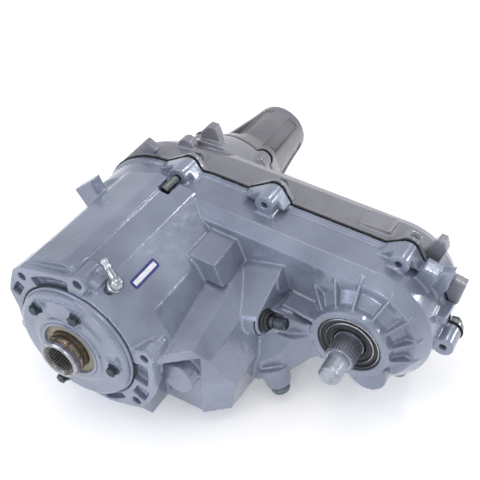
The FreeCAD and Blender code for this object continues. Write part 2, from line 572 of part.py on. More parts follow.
def planet_carrier():
    front = tube(0, 0, 30, 73, 31, 37)
    rear = tube(0, 0, 27.8, 73, 72, 80).cut(toothed(24, 27.8, 30, 71, 81, fill=0.55))
    posts = []
    for a in (0, 90, 180, 270):
        arc = [a - 13 + 26 * k / 4 for k in range(5)]
        posts.append(prism(ring_points(72, arc) + ring_points(55, arc[::-1]), 37, 72))
    return join(front, rear, *posts).cut(rods(PLANET_POINTS, PLANET_PIN_R, 30, 81))


def planet_pins():
    return group(rods(PLANET_POINTS, PLANET_PIN_R, 31, 80))


def planet_thrust_washers():
    return group([tube(x, z, PLANET_PIN_R + 0.2, 12, y0, y0 + 1.4)
                  for x, z in PLANET_POINTS for y0 in (37.2, 70.2)])


def planet_gear(index):
    x, z = PLANET_POINTS[index]
    outline = gear_outline(PLANET, MODULE * (PLANET / 2 - 1.15), MODULE * (PLANET / 2 + 0.9), BACKLASH,
                           PLANET_ANGLES[index] * (SUN + PLANET) / PLANET, x, z)
    return prism(outline, GEAR_Y0, GEAR_Y1).cut(rod(x, z, PLANET_PIN_R + RUNNING, GEAR_Y0 - 1, GEAR_Y1 + 1))


# ---- main shaft and what rides on it --------------------------------------------------------
def main_shaft():
    body = rod(0, 0, 15 - RUNNING, 34, 54).multiFuse(
        [toothed(28, 17.6, 19, 54, 150, fill=0.5), rod(0, 0, 20, 150, 262), rod(0, 0, 22, 242, 246),
         rod(0, 0, 20, 262, 290), rod(0, 0, 18.5, 290, 330),
         toothed(32, 15.5, 16.8, 330, 440, fill=0.5)])
    return body.removeSplitter()


def range_hub():
    body = rod(0, 0, 24, 56, 101).multiFuse(
        [toothed(24, 24, 27.5, 56, 66, fill=0.45), rod(0, 0, 31, 88, 92), rod(0, 0, 31, 97, 101)])
    return body.cut(rod(0, 0, 19 + RUNNING, 55, 102))


def mode_hub():
    return tube(0, 0, 20, 34, 174, 192).cut(tube(0, 0, 26, 30, 186, 193))


def mode_sleeve():
    body = tube(0, 0, 34 + RUNNING, 42, 182, 204)
    return body.cut(tube(0, 0, 38, 50, 189.5, 196.5))


def sprocket(x, r_bore):
    tip, root = CHAIN_R - 0.5, CHAIN_R - 4.6
    blank = toothed(SPROCKET_TEETH, root, tip, CHAIN_Y0 + 1, CHAIN_Y1 - 1, x, 0, fill=0.62, taper=0.45)
    dish = tube(x, 0, r_bore + 12, 50, CHAIN_Y0, CHAIN_Y0 + 9)
    dish_rear = tube(x, 0, r_bore + 12, 50, CHAIN_Y1 - 9, CHAIN_Y1)
    return blank.cut([dish, dish_rear, rod(x, 0, r_bore, CHAIN_Y0 - 1, CHAIN_Y1 + 1)])


def drive_sprocket():
    collar = tube(0, 0, 20 + RUNNING, 33.9, 196, CHAIN_Y0 + 2)
    return sprocket(0, 20 + RUNNING).fuse(collar).removeSplitter()


def driven_sprocket():
    return sprocket(OUT_X, 19.0)


def drive_chain():
    """Inverted-tooth chain: one solid per pitch, waisted between its two pins."""
    half_w, inner, outer = CHAIN_PITCH * 0.47, 0.1, 6.4
    link = [(-half_w, inner), (half_w, inner), (half_w, outer - 1.6), (half_w - 1.6, outer),
            (1.2, outer), (0, outer - 1.2), (-1.2, outer), (-half_w + 1.6, outer),
            (-half_w, outer - 1.6)]
    links = []
    for k in range(CENTRE_PITCHES):
        x = (k + 0.5) * CHAIN_PITCH
        links.append(prism([(x + u, CHAIN_R + v) for u, v in link], CHAIN_Y0 + 1, CHAIN_Y1 - 1))
        links.append(prism([(x + u, -CHAIN_R - v) for u, v in link], CHAIN_Y0 + 1, CHAIN_Y1 - 1))
    for centre, start in ((0, 90), (OUT_X, -90)):
        for k in range(SPROCKET_TEETH // 2):
            a = start + (k + 0.5) * 360 / SPROCKET_TEETH
            solid = prism([(u * 0.92, CHAIN_R + 0.2 + v) for u, v in link], CHAIN_Y0 + 1, CHAIN_Y1 - 1)
            solid.rotate(Vector(0, 0, 0), Vector(0, 1, 0), 90 - a)
            solid.translate(Vector(centre, 0, 0))
            links.append(solid)
    return group(links)


def tone_ring():
    return toothed(30, 25, 27, 300, 310, fill=0.5).cut(rod(0, 0, 18.5, 299, 311))


def front_output_shaft():
    stub = rod(OUT_X, 0, OUT_STUB_R, OUT_TIP_Y + 3, OUT_SPLINE_Y).fuse(
        cone(OUT_X, 0, OUT_STUB_R - 2.5, OUT_STUB_R, OUT_TIP_Y, OUT_TIP_Y + 3))
    spline = toothed(32, OUT_SPLINE_R - 1.5, OUT_SPLINE_R, OUT_SPLINE_Y + 1.5, 142, OUT_X, 0, fill=0.5,
                     taper=0.7)
    relief = cone(OUT_X, 0, OUT_STUB_R + 2.5, OUT_SPLINE_R - 1.5, OUT_SPLINE_Y, OUT_SPLINE_Y + 1.5)
    seat = rod(OUT_X, 0, FRONT_OUT_BRG[0], 142, 170)
    body = rod(OUT_X, 0, 22, 170, 204).multiFuse(
        [rod(OUT_X, 0, 19, 204, 244), rod(OUT_X, 0, FRONT_OUT_REAR_BRG[0], 244, 277), stub, spline,
         relief, seat])
    return body.removeSplitter()


def front_output_clip():
    return tube(OUT_X, 0, 19, 23, 240, 242.5)


# ---- bearings, seals and pump ---------------------------------------------------------------
def oil_pump():
    body = tube(0, 0, 23, 48, 247, 260)
    return body.fuse(box(-12, 12, 247, 258, -66, -46)).cut(
        [Part.makeCylinder(4, 22, Vector(0, 252, -67), Vector(0, 0, 1)), rod(0, 0, 23, 246, 261)])


def pickup_tube():
    return Part.makeCylinder(4, 12, Vector(0, 252, -72), Vector(0, 0, 1)).cut(
        Part.makeCylinder(2.8, 14, Vector(0, 252, -73), Vector(0, 0, 1)))


def pickup_screen():
    return box(-16, 16, 242, 260, -76, -72)


def case_magnet():
    return rod(150, -66, 8, 256, 262)


# ---- shift mechanism ------------------------------------------------------------------------
def along_sector(start, length, radius):
    return Part.makeCylinder(radius, length, SHIFT_POINT + sector_axis() * start, sector_axis())


def sector_shaft():
    shaft = along_sector(-46, 72, 7.0)
    chamfered_end = Part.makeCone(7.0, 5.2, 1.8, SHIFT_POINT + sector_axis() * 26, sector_axis())
    groove = along_sector(13, 2, 9).cut(along_sector(12, 4, 6.0))
    return shaft.fuse(chamfered_end).cut(groove)


def sector_seal():
    return along_sector(-2, 7, 12.5).cut(along_sector(-3, 9, 7.0 + RUNNING)).cut(
        along_sector(-3, 3, 14).cut(along_sector(-3, 3, 8.4)))


def sector_bushing():
    return along_sector(-22, 18, 8.5).cut(along_sector(-23, 20, 7.0 + RUNNING))


def sector_plate():
    """Cam plate on the inner end of the shaft, with the slot that carries the range-fork pin."""
    plate = along_sector(-46, 5, 20)
    slot = []
    for k in range(9):
        share = k / 8
        swing = math.radians(SECTOR_SWING * share)
        y, z = RANGE_STROKE * share, PIN_HEIGHT
        back_y = y * math.cos(swing) + z * math.sin(swing)
        back_z = -y * math.sin(swing) + z * math.cos(swing)
        slot.append(Part.makeCylinder(PIN_R + PIN_PLAY, 30, Vector(112, SHIFT_POINT.y + back_y, back_z),
                                      Vector(1, 0, 0)))
    hub = along_sector(-46, 10, 10)
    return plate.cut(slot).fuse(hub).cut(along_sector(-47, 14, 7.0)).removeSplitter()


def shift_rail():
    body = rod(RAIL_X, RAIL_Z, RAIL_R, 66, 275)
    return body.fuse([rod(RAIL_X, RAIL_Z, 12, 128, 131), rod(RAIL_X, RAIL_Z, 12, 160, 163)])


def mode_spring():
    coils, wire_r, mean_r = 5, 1.2, 10.6
    y0, y1 = 132.5, 158.5
    helix = Part.makeHelix((y1 - y0) / coils, y1 - y0, mean_r)
    circle = Part.Wire([Part.Circle(Vector(mean_r, 0, 0), Vector(0, 1, 0), wire_r).toShape()])
    coil = Part.Wire(helix).makePipeShell([circle], True, True)
    coil.rotate(Vector(0, 0, 0), Vector(1, 0, 0), -90)
    coil.translate(Vector(RAIL_X, y0, RAIL_Z))
    return coil


def fork(groove_r, plate_y0, plate_y1, hub_y0, hub_y1, reach):
    """Shift fork: a half ring in the sleeve groove, an arm, and a hub that slides on the rail."""
    ring = tube(0, 0, groove_r + 0.5, groove_r + reach, plate_y0, plate_y1)
    ring = ring.cut(box(-100, -2, plate_y0 - 1, plate_y1 + 1, -100, 100))
    arm = prism([(groove_r + reach - 4, -14), (RAIL_X - 6, -10), (RAIL_X - 6, 10),
                 (groove_r + reach - 4, 14)], plate_y0, plate_y1)
    hub = rod(RAIL_X, RAIL_Z, 13, hub_y0, hub_y1)
    return ring.multiFuse([arm, hub]).cut(rod(RAIL_X, RAIL_Z, RAIL_R + RUNNING, hub_y0 - 1, hub_y1 + 1))


def range_fork():
    body = fork(24, 92.5, 96.5, 90, 112, 10)
    ear = box(RAIL_X - 4, RAIL_X + 13, 100, 112, PIN_HEIGHT - 4, -8).multiFuse(
        [box(RAIL_X + 7, RAIL_X + 13, 100, SHIFT_POINT.y + 4, PIN_HEIGHT - 4, PIN_HEIGHT + 4),
         Part.makeCylinder(PIN_R, 16, Vector(RAIL_X + 12, SHIFT_POINT.y, PIN_HEIGHT), Vector(1, 0, 0))])
    ear = ear.cut(rod(RAIL_X, RAIL_Z, RAIL_R + RUNNING, 80, 130))
    return body.fuse(ear).removeSplitter()


def mode_fork():
    return fork(38, 190, 196, 182, 204, 9).removeSplitter()


def detent_plunger():
    ball = Part.makeSphere(4.0, Vector(DETENT_X, SHIFT_POINT.y, -27.0))
    return ball.fuse(Part.makeCylinder(4.0, 24, Vector(DETENT_X, SHIFT_POINT.y, -51.0), Vector(0, 0, 1)))


def detent_spring():
    coil = Part.Wire(Part.makeHelix(4.0, 24.0, 2.8)).makePipeShell(
        [Part.Wire([Part.Circle(Vector(2.8, 0, 0), Vector(0, 1, 0), 0.6).toShape()])], True, True)
    coil.translate(Vector(DETENT_X, SHIFT_POINT.y, -76.5))
    return coil


def detent_plug():
    return bolt(Vector(DETENT_X, SHIFT_POINT.y, -84), Vector(0, 0, 1), 4.05, 6.5, 7, 5)


# ---- fasteners and fittings -----------------------------------------------------------------
def case_bolts():
    return group([bolt(Vector(x, REAR_BOSS_Y, z), Vector(0, -1, 0), SHANK_R, 37, 7.8, 7.5)
                  for i, (x, z) in enumerate(SEAM_BOSSES) if i != STUD_INDEX])


def case_stud():
    x, z = SEAM_BOSSES[STUD_INDEX]
    shank = rod(x, z, 3.9, 172, 248)
    sleeve = rod(x, z, 6.6, 172, 192)
    nut = Part.Face(Part.makePolygon([polar(8, a, REAR_BOSS_Y, x, z) for a in range(0, 361, 60)])).extrude(
        Vector(0, 8, 0))
    return shank.fuse([sleeve, nut])


def tail_bolts():
    return group([bolt(polar(TAIL_BOLT_R, a, TAIL_Y0 + 10), Vector(0, -1, 0), SHANK_R, 30, 6.6, 7)
                  for a in TAIL_BOLTS])


def case_dowels():
    return group(rods(DOWELS, DOWEL_R, SEAM_Y - DOWEL_DEPTH, REAR_Y0 + DOWEL_DEPTH))


def pipe_plug(x, z):
    """Threaded plug with a square drive socket, seated in the back of the rear case."""
    head = rod(x, z, 11.5, REAR_Y1, REAR_Y1 + 3).fuse(rod(x, z, 9.0, 276, REAR_Y1))
    return head.cut(box(x - 5, x + 5, REAR_Y1 - 8, REAR_Y1 + 4, z - 5, z + 5))


def switch_plug():
    """Rounded range-switch plug in the low angled boss."""
    body = Part.makeCylinder(11.5, 11, PLUG_SEAT, PLUG_AXIS).fuse(
        Part.makeCylinder(7.8, 26, PLUG_SEAT - PLUG_AXIS * 24, PLUG_AXIS))
    dome = Part.makeCone(11.5, 8.5, 3, PLUG_SEAT + PLUG_AXIS * 11, PLUG_AXIS)
    return body.fuse(dome)


def flank_normal():
    return Vector(CREST[1] - FLANK_FOOT[1], 0, FLANK_FOOT[0] - CREST[0]).normalize()


def flank_point(y, across, height=0.0):
    """Point on the label facet; across runs up the facet towards the crest."""
    n = flank_normal()
    up = Vector(-n.z, 0, n.x)
    distance = n.x * CREST[0] + n.z * CREST[1]
    return n * (distance + height) + up * across + Vector(0, y, 0)


def vent_fitting():
    """Elbow vent: screwed base, ball and a barbed hose nipple lying along the facet."""
    n = flank_normal()
    base = flank_point(VENT_Y, VENT_ACROSS)
    lie = (Vector(-n.z, 0, n.x) + Vector(0, 0.31, 0)).normalize()
    ball_at = base + n * 8.5
    nipple = Part.makeCylinder(3.2, 25, ball_at, lie)
    barb = Part.makeCone(3.2, 4.8, 5, ball_at + lie * 19, lie).fuse(
        Part.makeCylinder(4.8, 4, ball_at + lie * 24, lie))
    stem = Part.makeCylinder(4.9, 16, base - n * 8, n)
    body = stem.multiFuse([Part.makeSphere(6.4, ball_at), nipple, barb])
    return body.cut(Part.makeCylinder(2.0, 12, ball_at + lie * 18, lie))


def id_label():
    """Blank printed label, a thin flat rectangle on the facet."""
    corners = [flank_point(y, a, 0.0) for y, a in ((LABEL_Y0, LABEL_ACROSS0), (LABEL_Y1, LABEL_ACROSS0),
                                                   (LABEL_Y1, LABEL_ACROSS1), (LABEL_Y0, LABEL_ACROSS1))]
    return Part.Face(Part.makePolygon(corners + corners[:1])).extrude(flank_normal() * 0.3)


NODES = {
    "front_case": front_case, "rear_case": rear_case, "tail_housing": tail_housing,
    "case_sealant": case_sealant, "retainer_sealant": retainer_sealant, "tail_sealant": tail_sealant,
    "bearing_retainer": bearing_retainer, "retainer_bolts": retainer_bolts,
    "input_seal": lambda: lip_seal(0, HUB_R, SEAL_BORE_R, SEAL_Y0, SEAL_Y1),
    "input_bearing": input_bearing, "input_snap_ring": input_snap_ring, "input_gear": input_gear,
    "annulus_gear": annulus_gear, "planet_carrier": planet_carrier, "planet_pins": planet_pins,
    "planet_thrust_washers": planet_thrust_washers,
    "main_shaft": main_shaft, "range_hub": range_hub, "mode_hub": mode_hub, "mode_sleeve": mode_sleeve,
    "drive_sprocket": drive_sprocket, "driven_sprocket": driven_sprocket, "drive_chain": drive_chain,
    "tone_ring": tone_ring, "front_output_shaft": front_output_shaft,
    "front_output_clip": front_output_clip,
    "front_output_seal": lambda: lip_seal(OUT_X, FRONT_OUT_BRG[0], OUT_SEAL_R, 142.0, 150.5),
    "front_output_front_bearing": lambda: bearing(OUT_X, *FRONT_OUT_BRG, 9),
    "front_output_rear_bearing": lambda: bearing(OUT_X, *FRONT_OUT_REAR_BRG, 9),
    "main_shaft_rear_bearing": lambda: bearing(0, *REAR_BRG, 9),
    "tail_bushing": lambda: tube(0, 0, 24.0, 27.0, 442, 463),
    "tail_seal": lambda: lip_seal(0, 24.0, 32.5, 464, TAIL_Y1),
    "oil_pump": oil_pump, "pickup_tube": pickup_tube, "pickup_screen": pickup_screen,
    "case_magnet": case_magnet, "sector_shaft": sector_shaft, "sector_seal": sector_seal,
    "sector_bushing": sector_bushing, "sector_plate": sector_plate, "shift_rail": shift_rail,
    "mode_spring": mode_spring, "range_fork": range_fork, "mode_fork": mode_fork,
    "detent_plunger": detent_plunger, "detent_spring": detent_spring, "detent_plug": detent_plug,
    "case_bolts": case_bolts, "case_stud": case_stud, "tail_bolts": tail_bolts,
    "case_dowels": case_dowels, "fill_plug": lambda: pipe_plug(FILL_X, FILL_Z),
    "drain_plug": lambda: pipe_plug(DRAIN_X, DRAIN_Z), "switch_plug": switch_plug,
    "vent_fitting": vent_fitting, "id_label": id_label,
}
for index in range(len(PLANET_ANGLES)):
    NODES[f"planet_gear_{index + 1}"] = lambda index=index: planet_gear(index)

os.makedirs("parts", exist_ok=True)
for name, build in NODES.items():
    shape = build()
    shape.exportStep(f"parts/{name}.step")
    print(f"{name}: {len(shape.Solids)} solids, {shape.Volume / 1000:.1f} cm3, valid {shape.isValid()}")
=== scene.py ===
# %% [markdown]
# # A chain-drive transfer case, dressed for its portrait
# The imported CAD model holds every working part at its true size. This notebook
# gives that model its looks: painted castings with soft cast edges, black
# sealant squeezed out of the joints, bolts, splines, seals and finishes.
# Lengths are in metres; +Y runs from the input end to the tail, +Z is up.

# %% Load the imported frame
import math

import bmesh
import bpy
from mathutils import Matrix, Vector


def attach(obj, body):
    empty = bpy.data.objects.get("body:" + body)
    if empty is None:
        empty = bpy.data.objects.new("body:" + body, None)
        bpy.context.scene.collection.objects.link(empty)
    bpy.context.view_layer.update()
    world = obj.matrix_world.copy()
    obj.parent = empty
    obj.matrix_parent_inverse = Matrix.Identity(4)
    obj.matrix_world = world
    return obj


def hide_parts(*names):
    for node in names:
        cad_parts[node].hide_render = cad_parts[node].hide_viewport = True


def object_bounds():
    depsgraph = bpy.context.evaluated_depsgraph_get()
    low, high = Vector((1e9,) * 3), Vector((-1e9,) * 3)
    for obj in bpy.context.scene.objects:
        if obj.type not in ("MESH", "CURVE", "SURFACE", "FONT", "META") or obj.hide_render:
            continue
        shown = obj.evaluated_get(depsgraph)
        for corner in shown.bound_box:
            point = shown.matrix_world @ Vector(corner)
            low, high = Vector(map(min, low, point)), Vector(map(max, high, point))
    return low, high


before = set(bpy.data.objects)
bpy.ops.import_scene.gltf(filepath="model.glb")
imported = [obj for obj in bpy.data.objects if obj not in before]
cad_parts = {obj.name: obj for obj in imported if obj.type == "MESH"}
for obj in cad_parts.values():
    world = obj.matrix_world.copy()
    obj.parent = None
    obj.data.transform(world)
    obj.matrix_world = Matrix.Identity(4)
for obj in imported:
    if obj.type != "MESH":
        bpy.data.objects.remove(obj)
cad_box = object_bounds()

MM = 0.001
SCENE = bpy.context.scene
print("CAD box", cad_box)

# %% [markdown]
# ## Colour and node helpers
# Colours are picked the way a painter names them, as sRGB hex, and one function
# turns them into the linear values that a shader needs. One more function adds
# a shader node, sets its choices and joins its inputs. They could be written
# out for each material, but then every finish would be a page of node code.

# %% Helpers for materials


def linear(hex_colour):
    """sRGB hex to a linear RGBA tuple."""
    channels = [int(hex_colour[i:i + 2], 16) / 255 for i in (0, 2, 4)]
    return tuple(c / 12.92 if c <= 0.04045 else ((c + 0.055) / 1.055) ** 2.4
                 for c in channels) + (1.0,)


def add_node(tree, kind, inputs=None, **settings):
    """Adds a node, sets its properties, then fills or links its inputs."""
    node = tree.nodes.new(kind)
    for name, value in settings.items():
        setattr(node, name, value)
    for name, value in (inputs or {}).items():
        if isinstance(value, bpy.types.NodeSocket):
            tree.links.new(value, node.inputs[name])
        else:
            node.inputs[name].default_value = value
    return node


def new_material(name, **constants):
    """An empty principled material: its tree, its shader and the object coordinates."""
    material = bpy.data.materials.new(name)
    material.use_nodes = True
    tree = material.node_tree
    shader = tree.nodes["Principled BSDF"]
    for socket, value in constants.items():
        shader.inputs[socket.replace("_", " ")].default_value = value
    place = tree.nodes.new("ShaderNodeTexCoord").outputs["Object"]
    return material, tree, shader, place


print("material helpers ready")

# %% Helpers for patterns


def ramp(tree, factor, stops):
    """A colour ramp through (position, linear colour) stops."""
    node = add_node(tree, "ShaderNodeValToRGB", {"Fac": factor})
    band = node.color_ramp
    while len(band.elements) < len(stops):
        band.elements.new(0.5)
    for element, (position, colour) in zip(band.elements, stops):
        element.position = position
        element.color = colour
    return node.outputs["Color"]


def grain(tree, place, size_mm, detail=3.0, rough=0.5, stretch=(1, 1, 1)):
    """Noise whose blobs are about size_mm across, squeezed along an axis by stretch."""
    spread = add_node(tree, "ShaderNodeMapping", {"Vector": place, "Scale": stretch})
    return add_node(tree, "ShaderNodeTexNoise",
                    {"Vector": spread.outputs["Vector"], "Scale": 1000 / size_mm,
                     "Detail": detail, "Roughness": rough}).outputs["Fac"]


def uneven(tree, cloud, at_low, at_high):
    """Spreads the usual range of a noise, 0.3 to 0.7, between two values."""
    return add_node(tree, "ShaderNodeMapRange",
                    {0: cloud, 1: 0.3, 2: 0.7, 3: at_low, 4: at_high}).outputs["Result"]


def bumped(tree, height, strength, depth, **under):
    """A bump of some depth in metres; Normal= puts it on top of another bump."""
    return add_node(tree, "ShaderNodeBump", {"Strength": strength, "Distance": depth,
                                             "Height": height, **under}).outputs["Normal"]


def dress(tree, shader, colour, roughness, normal):
    """Joins the three sockets that every finish here fills."""
    tree.links.new(colour, shader.inputs["Base Color"])
    tree.links.new(roughness, shader.inputs["Roughness"])
    tree.links.new(normal, shader.inputs["Normal"])


print("pattern helpers ready")

# %% [markdown]
# ## Finish 1: silver-grey paint on sand-cast aluminium
# A remanufactured transfer case is blasted, assembled and then sprayed with a
# silver-grey engine enamel over everything cast. The eye reads three things:
# a slightly blue silver grey, a coat glossy enough to draw bright lines along
# the edges, and the dimpled skin of the sand mould under it. Noise at two sizes
# gives the mottling, and two more drive the bump. An image of paint would look
# stretched on such broken shapes; noise in object space fits them all.

# %% Paint on the castings


def cast_paint(name, light, mid, dark, gloss):
    """Glossy metallic enamel over a sand-cast skin."""
    material, tree, shader, place = new_material(
        name, Metallic=0.25, Coat_Weight=0.7, Coat_Roughness=0.1)
    cloud = grain(tree, place, 70, 2.0)
    colour = ramp(tree, cloud, ((0.3, linear(dark)), (0.5, linear(mid)), (0.72, linear(light))))
    speck = grain(tree, place, 2.6, 2.0, 0.6)
    dust = ramp(tree, speck, ((0.34, (0.8, 0.8, 0.8, 1)), (0.46, (1, 1, 1, 1))))
    dusty = add_node(tree, "ShaderNodeMix", {0: 0.2, 6: colour, 7: dust},
                     data_type="RGBA", blend_type="MULTIPLY")
    gloss_patch = grain(tree, place, 18, 3.0, 0.6)
    sand = bumped(tree, grain(tree, place, 1.6, 3.0, 0.6), 0.14, 0.0006)
    waves = bumped(tree, grain(tree, place, 13, 2.0), 0.3, 0.003, Normal=sand)
    dress(tree, shader, dusty.outputs[2],
          uneven(tree, gloss_patch, gloss - 0.06, gloss + 0.09), waves)
    return material


FRONT_PAINT = cast_paint("silver_enamel_on_cast_aluminium", "8b93a4", "7e8698", "717889", 0.28)
REAR_PAINT = cast_paint("dusty_silver_enamel", "8a8a92", "7c7c85", "6f6f79", 0.42)
# The tail gets a darker copy of the same enamel: painted shade on the tail.
TAIL_PAINT = cast_paint("silver_enamel_painted_shade_on_tail", "7b7b80", "6e6e73", "616166", 0.42)
print("paint:", FRONT_PAINT.name, REAR_PAINT.name, TAIL_PAINT.name)

# %% [markdown]
# ## Finish 2: steels, zinc and bronze
# Turned and ground steel shows fine rings that run round its axis, and hardened
# splines are darker, with bright tips that are partly worn and partly a painted
# highlight. Zinc plate is whiter and cloudy. Nearly all of them are plain metals,
# so only their colour, roughness and a fine bump differ, and the metal keeps the
# default index of refraction. The oily spline tips are painted lighter and made
# less metallic: a painted highlight that keeps them light inside the shaded bore.

# %% Metals


def metal(name, light, dark, rough, patch_mm, ring_mm, depth=0.0003, metallic=1.0):
    """Bare metal: cloudy tint, uneven polish, fine tool marks stretched round the Y axis."""
    material, tree, shader, place = new_material(name, Metallic=metallic)
    cloud = grain(tree, place, patch_mm, 4.0, 0.6)
    tint = ramp(tree, cloud, ((0.32, linear(dark)), (0.66, linear(light))))
    rings = grain(tree, place, ring_mm, 2.0, 0.5, (0.05, 1.0, 0.05))
    dress(tree, shader, tint, uneven(tree, cloud, rough + 0.1, rough - 0.06),
          bumped(tree, rings, 0.12, depth))
    return material


GROUND_STEEL = metal("ground_steel_shaft", "b9bac0", "8d8e95", 0.24, 9, 0.9, 0.0001)
WARM_STEEL = metal("oil_stained_turned_steel", "a79a8b", "6f6456", 0.2, 9, 1.2, 0.0001)
SPRAYED_STEEL = metal("steel_with_paint_overspray", "b3b6bf", "969aa5", 0.46, 6, 0.8)
DARK_STEEL = metal("phosphated_steel", "5d6168", "3c4046", 0.42, 5, 0.8)
GEAR_STEEL = metal("hardened_gear_steel", "8f8c88", "625f5c", 0.36, 6, 0.6)
# Spline tips: lighter and less metallic than the gear, partly worn and partly a painted highlight
# that keeps them bright in the shaded bore.
SPLINE_STEEL = metal("oiled_spline_steel_painted_highlight", "b4b4b2", "858583", 0.4, 4, 0.9, metallic=0.45)
ZINC = metal("bright_zinc_plate", "c9ced2", "8d959b", 0.27, 6, 2.5, 0.0001)
STUD_STEEL = metal("grey_green_stud_plating", "8b918f", "5f6665", 0.38, 3, 0.9)
BRONZE = metal("oiled_bronze", "a9814f", "735333", 0.35, 6, 0.6)
PLAIN_ALUMINIUM = metal("machined_aluminium", "c6c8cb", "9fa1a5", 0.3, 12, 0.5)
BOLT_FINISH = metal("green_black_bolt_coating", "586268", "343b40", 0.4, 3, 0.9)
print("metals ready")

# %% [markdown]
# ## Finish 3: sealant, rubber, plastic and the label
# The joints are sealed with black silicone that squeezes out and skins over, so
# it is matt with a soft sheen. The lip seals are black nitrile, the tan seal is
# undyed. The plug is dark green-grey nylon. The label is white film with a navy
# border, and it is left blank. They differ in two tones, sheen and grain only,
# so one function with a few numbers makes them all.

# %% Soft finishes


def matt(name, light, dark, rough, patch_mm, bump_mm, strength, **constants):
    """Rubber, sealant or plastic: two tones, uneven sheen, a fine bump."""
    material, tree, shader, place = new_material(name, **constants)
    cloud = grain(tree, place, patch_mm, 3.0, 0.6)
    tint = ramp(tree, cloud, ((0.32, linear(dark)), (0.68, linear(light))))
    lumps = grain(tree, place, bump_mm, 2.0)
    dress(tree, shader, tint, uneven(tree, cloud, rough - 0.08, rough + 0.1),
          bumped(tree, lumps, strength, 0.0008))
    return material


SILICONE = matt("black_silicone_sealant", "1d1e20", "0c0d0e", 0.42, 6, 2.0, 0.5)
NITRILE = matt("black_nitrile_rubber", "2c2d31", "151619", 0.38, 5, 1.2, 0.25)
TAN_SEAL = matt("tan_rubber_seal", "a39c86", "7d7764", 0.5, 4, 1.0, 0.3)
GREEN_NYLON = matt("grey_green_nylon_plug", "66737a", "46525a", 0.42, 7, 1.5, 0.2)
LABEL_WHITE = matt("label_white_film", "e9e8ee", "cfcdd6", 0.3, 6, 3.0, 0.15, Coat_Weight=0.3)
LABEL_BORDER = matt("label_navy_ink", "2a3480", "1d2463", 0.3, 5, 3.0, 0.15, Coat_Weight=0.3)
print("soft finishes ready")

# %% [markdown]
# ## Pieces as plain meshes
# Each new piece is built in the shared frame, so its object stays at the origin.
# Modifiers and node trees are turned into plain mesh at once: a piece that
# rides on a moving body then needs nothing worked out again at each pose.

# %% Helpers for pieces


def mesh_from(bm, name):
    """Turns a working mesh into a named mesh and frees it."""
    mesh = bpy.data.meshes.new(name)
    bm.to_mesh(mesh)
    bm.free()
    return mesh


def mesh_object(name, mesh, *materials):
    """A new object at the origin that shows a mesh."""
    piece = bpy.data.objects.new(name, mesh)
    SCENE.collection.objects.link(piece)
    for material in materials:
        mesh.materials.append(material)
    return piece


def bake_modifiers(piece):
    """Turns an object's modifiers into plain mesh and removes them."""
    bpy.context.view_layer.update()
    graph = bpy.context.evaluated_depsgraph_get()
    mesh = bpy.data.meshes.new_from_object(piece.evaluated_get(graph), depsgraph=graph)
    piece.modifiers.clear()
    piece.data = mesh
    return piece


def triangles(piece):
    """How many triangles a piece's mesh has."""
    return sum(len(p.vertices) - 2 for p in piece.data.polygons)


def finish_piece(piece, body, slot_name, *nodes):
    """Puts a piece on the body it rides on and hides the CAD pieces it stands for; slot_name is not
    used.
    """
    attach(piece, body)
    if nodes:
        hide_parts(*nodes)
    print(piece.name, triangles(piece), "triangles")


print("piece helpers ready")

# %% [markdown]
# ## Turned forms
# Seals, hubs, studs and collars are bodies of revolution. A screw modifier could
# sweep them, but a function that turns a profile of radius and height about any
# axis is simpler to aim and can give each strip its own material. Each piece is
# then just its profile: the drawing that a lathe operator would be given.

# %% Lathe
CENTRE, ALONG = (0, 0, 0), (0, 1, 0)
EDGE_BREAK = 0.15 * MM


def turned_mesh(name, profile, foot, axis, closed=False, steps=64, bands=None):
    """Turns (radius, height) points in mm about an axis; bands gives each strip its material."""
    axis = Vector(axis).normalized()
    side = axis.orthogonal().normalized()
    other = axis.cross(side)
    turns = [2 * math.pi * k / steps for k in range(steps)]
    bm = bmesh.new()
    rings = []
    for radius, height in profile:
        middle = Vector(foot) + axis * height
        if radius == 0:
            rings.append([bm.verts.new(middle * MM)] * steps)
            continue
        spokes = [side * math.cos(t) + other * math.sin(t) for t in turns]
        rings.append([bm.verts.new((middle + spoke * radius) * MM) for spoke in spokes])
    pairs = list(zip(range(len(rings)), range(1, len(rings))))
    if closed:
        pairs.append((len(rings) - 1, 0))
    for strip, (low, high) in enumerate(pairs):
        for k in range(steps):
            n = (k + 1) % steps
            corners = dict.fromkeys((rings[low][k], rings[low][n], rings[high][n], rings[high][k]))
            face = bm.faces.new(tuple(corners))
            face.smooth = True
            face.material_index = bands[strip] if bands else 0
    bmesh.ops.recalc_face_normals(bm, faces=bm.faces)
    return mesh_from(bm, name)


def lathe(name, profile, foot, axis, materials, **choices):
    """A turned piece with lightly broken edges."""
    piece = mesh_object(name, turned_mesh(name, profile, foot, axis, **choices), *materials)
    sharp = piece.modifiers.new("edges", "BEVEL")
    sharp.width = EDGE_BREAK
    sharp.segments = 2
    sharp.limit_method = "ANGLE"
    return bake_modifiers(piece)


print("lathe ready, edges broken by", EDGE_BREAK, "m")

# %% [markdown]
# ## Castings: soft edges from a voxel skin
# Sand cannot hold a knife edge, so every edge on a casting is rounded and every
# inside corner has a fillet. The CAD solids are sharp. Beveling such a mesh of
# cuts would tear, so each casting is wrapped in a fine voxel skin and relaxed
# for a few steps, which rounds edges and fills corners by about the same
# radius. The skin is then thinned where it is flat.

# %% Casting helpers
WELD = 2e-6
RELAX_STEPS = 3


def welded(node):
    """A CAD node's working mesh with its loose triangles merged into one skin."""
    skin = bmesh.new()
    skin.from_mesh(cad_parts[node].data)
    bmesh.ops.remove_doubles(skin, verts=skin.verts, dist=WELD)
    return skin


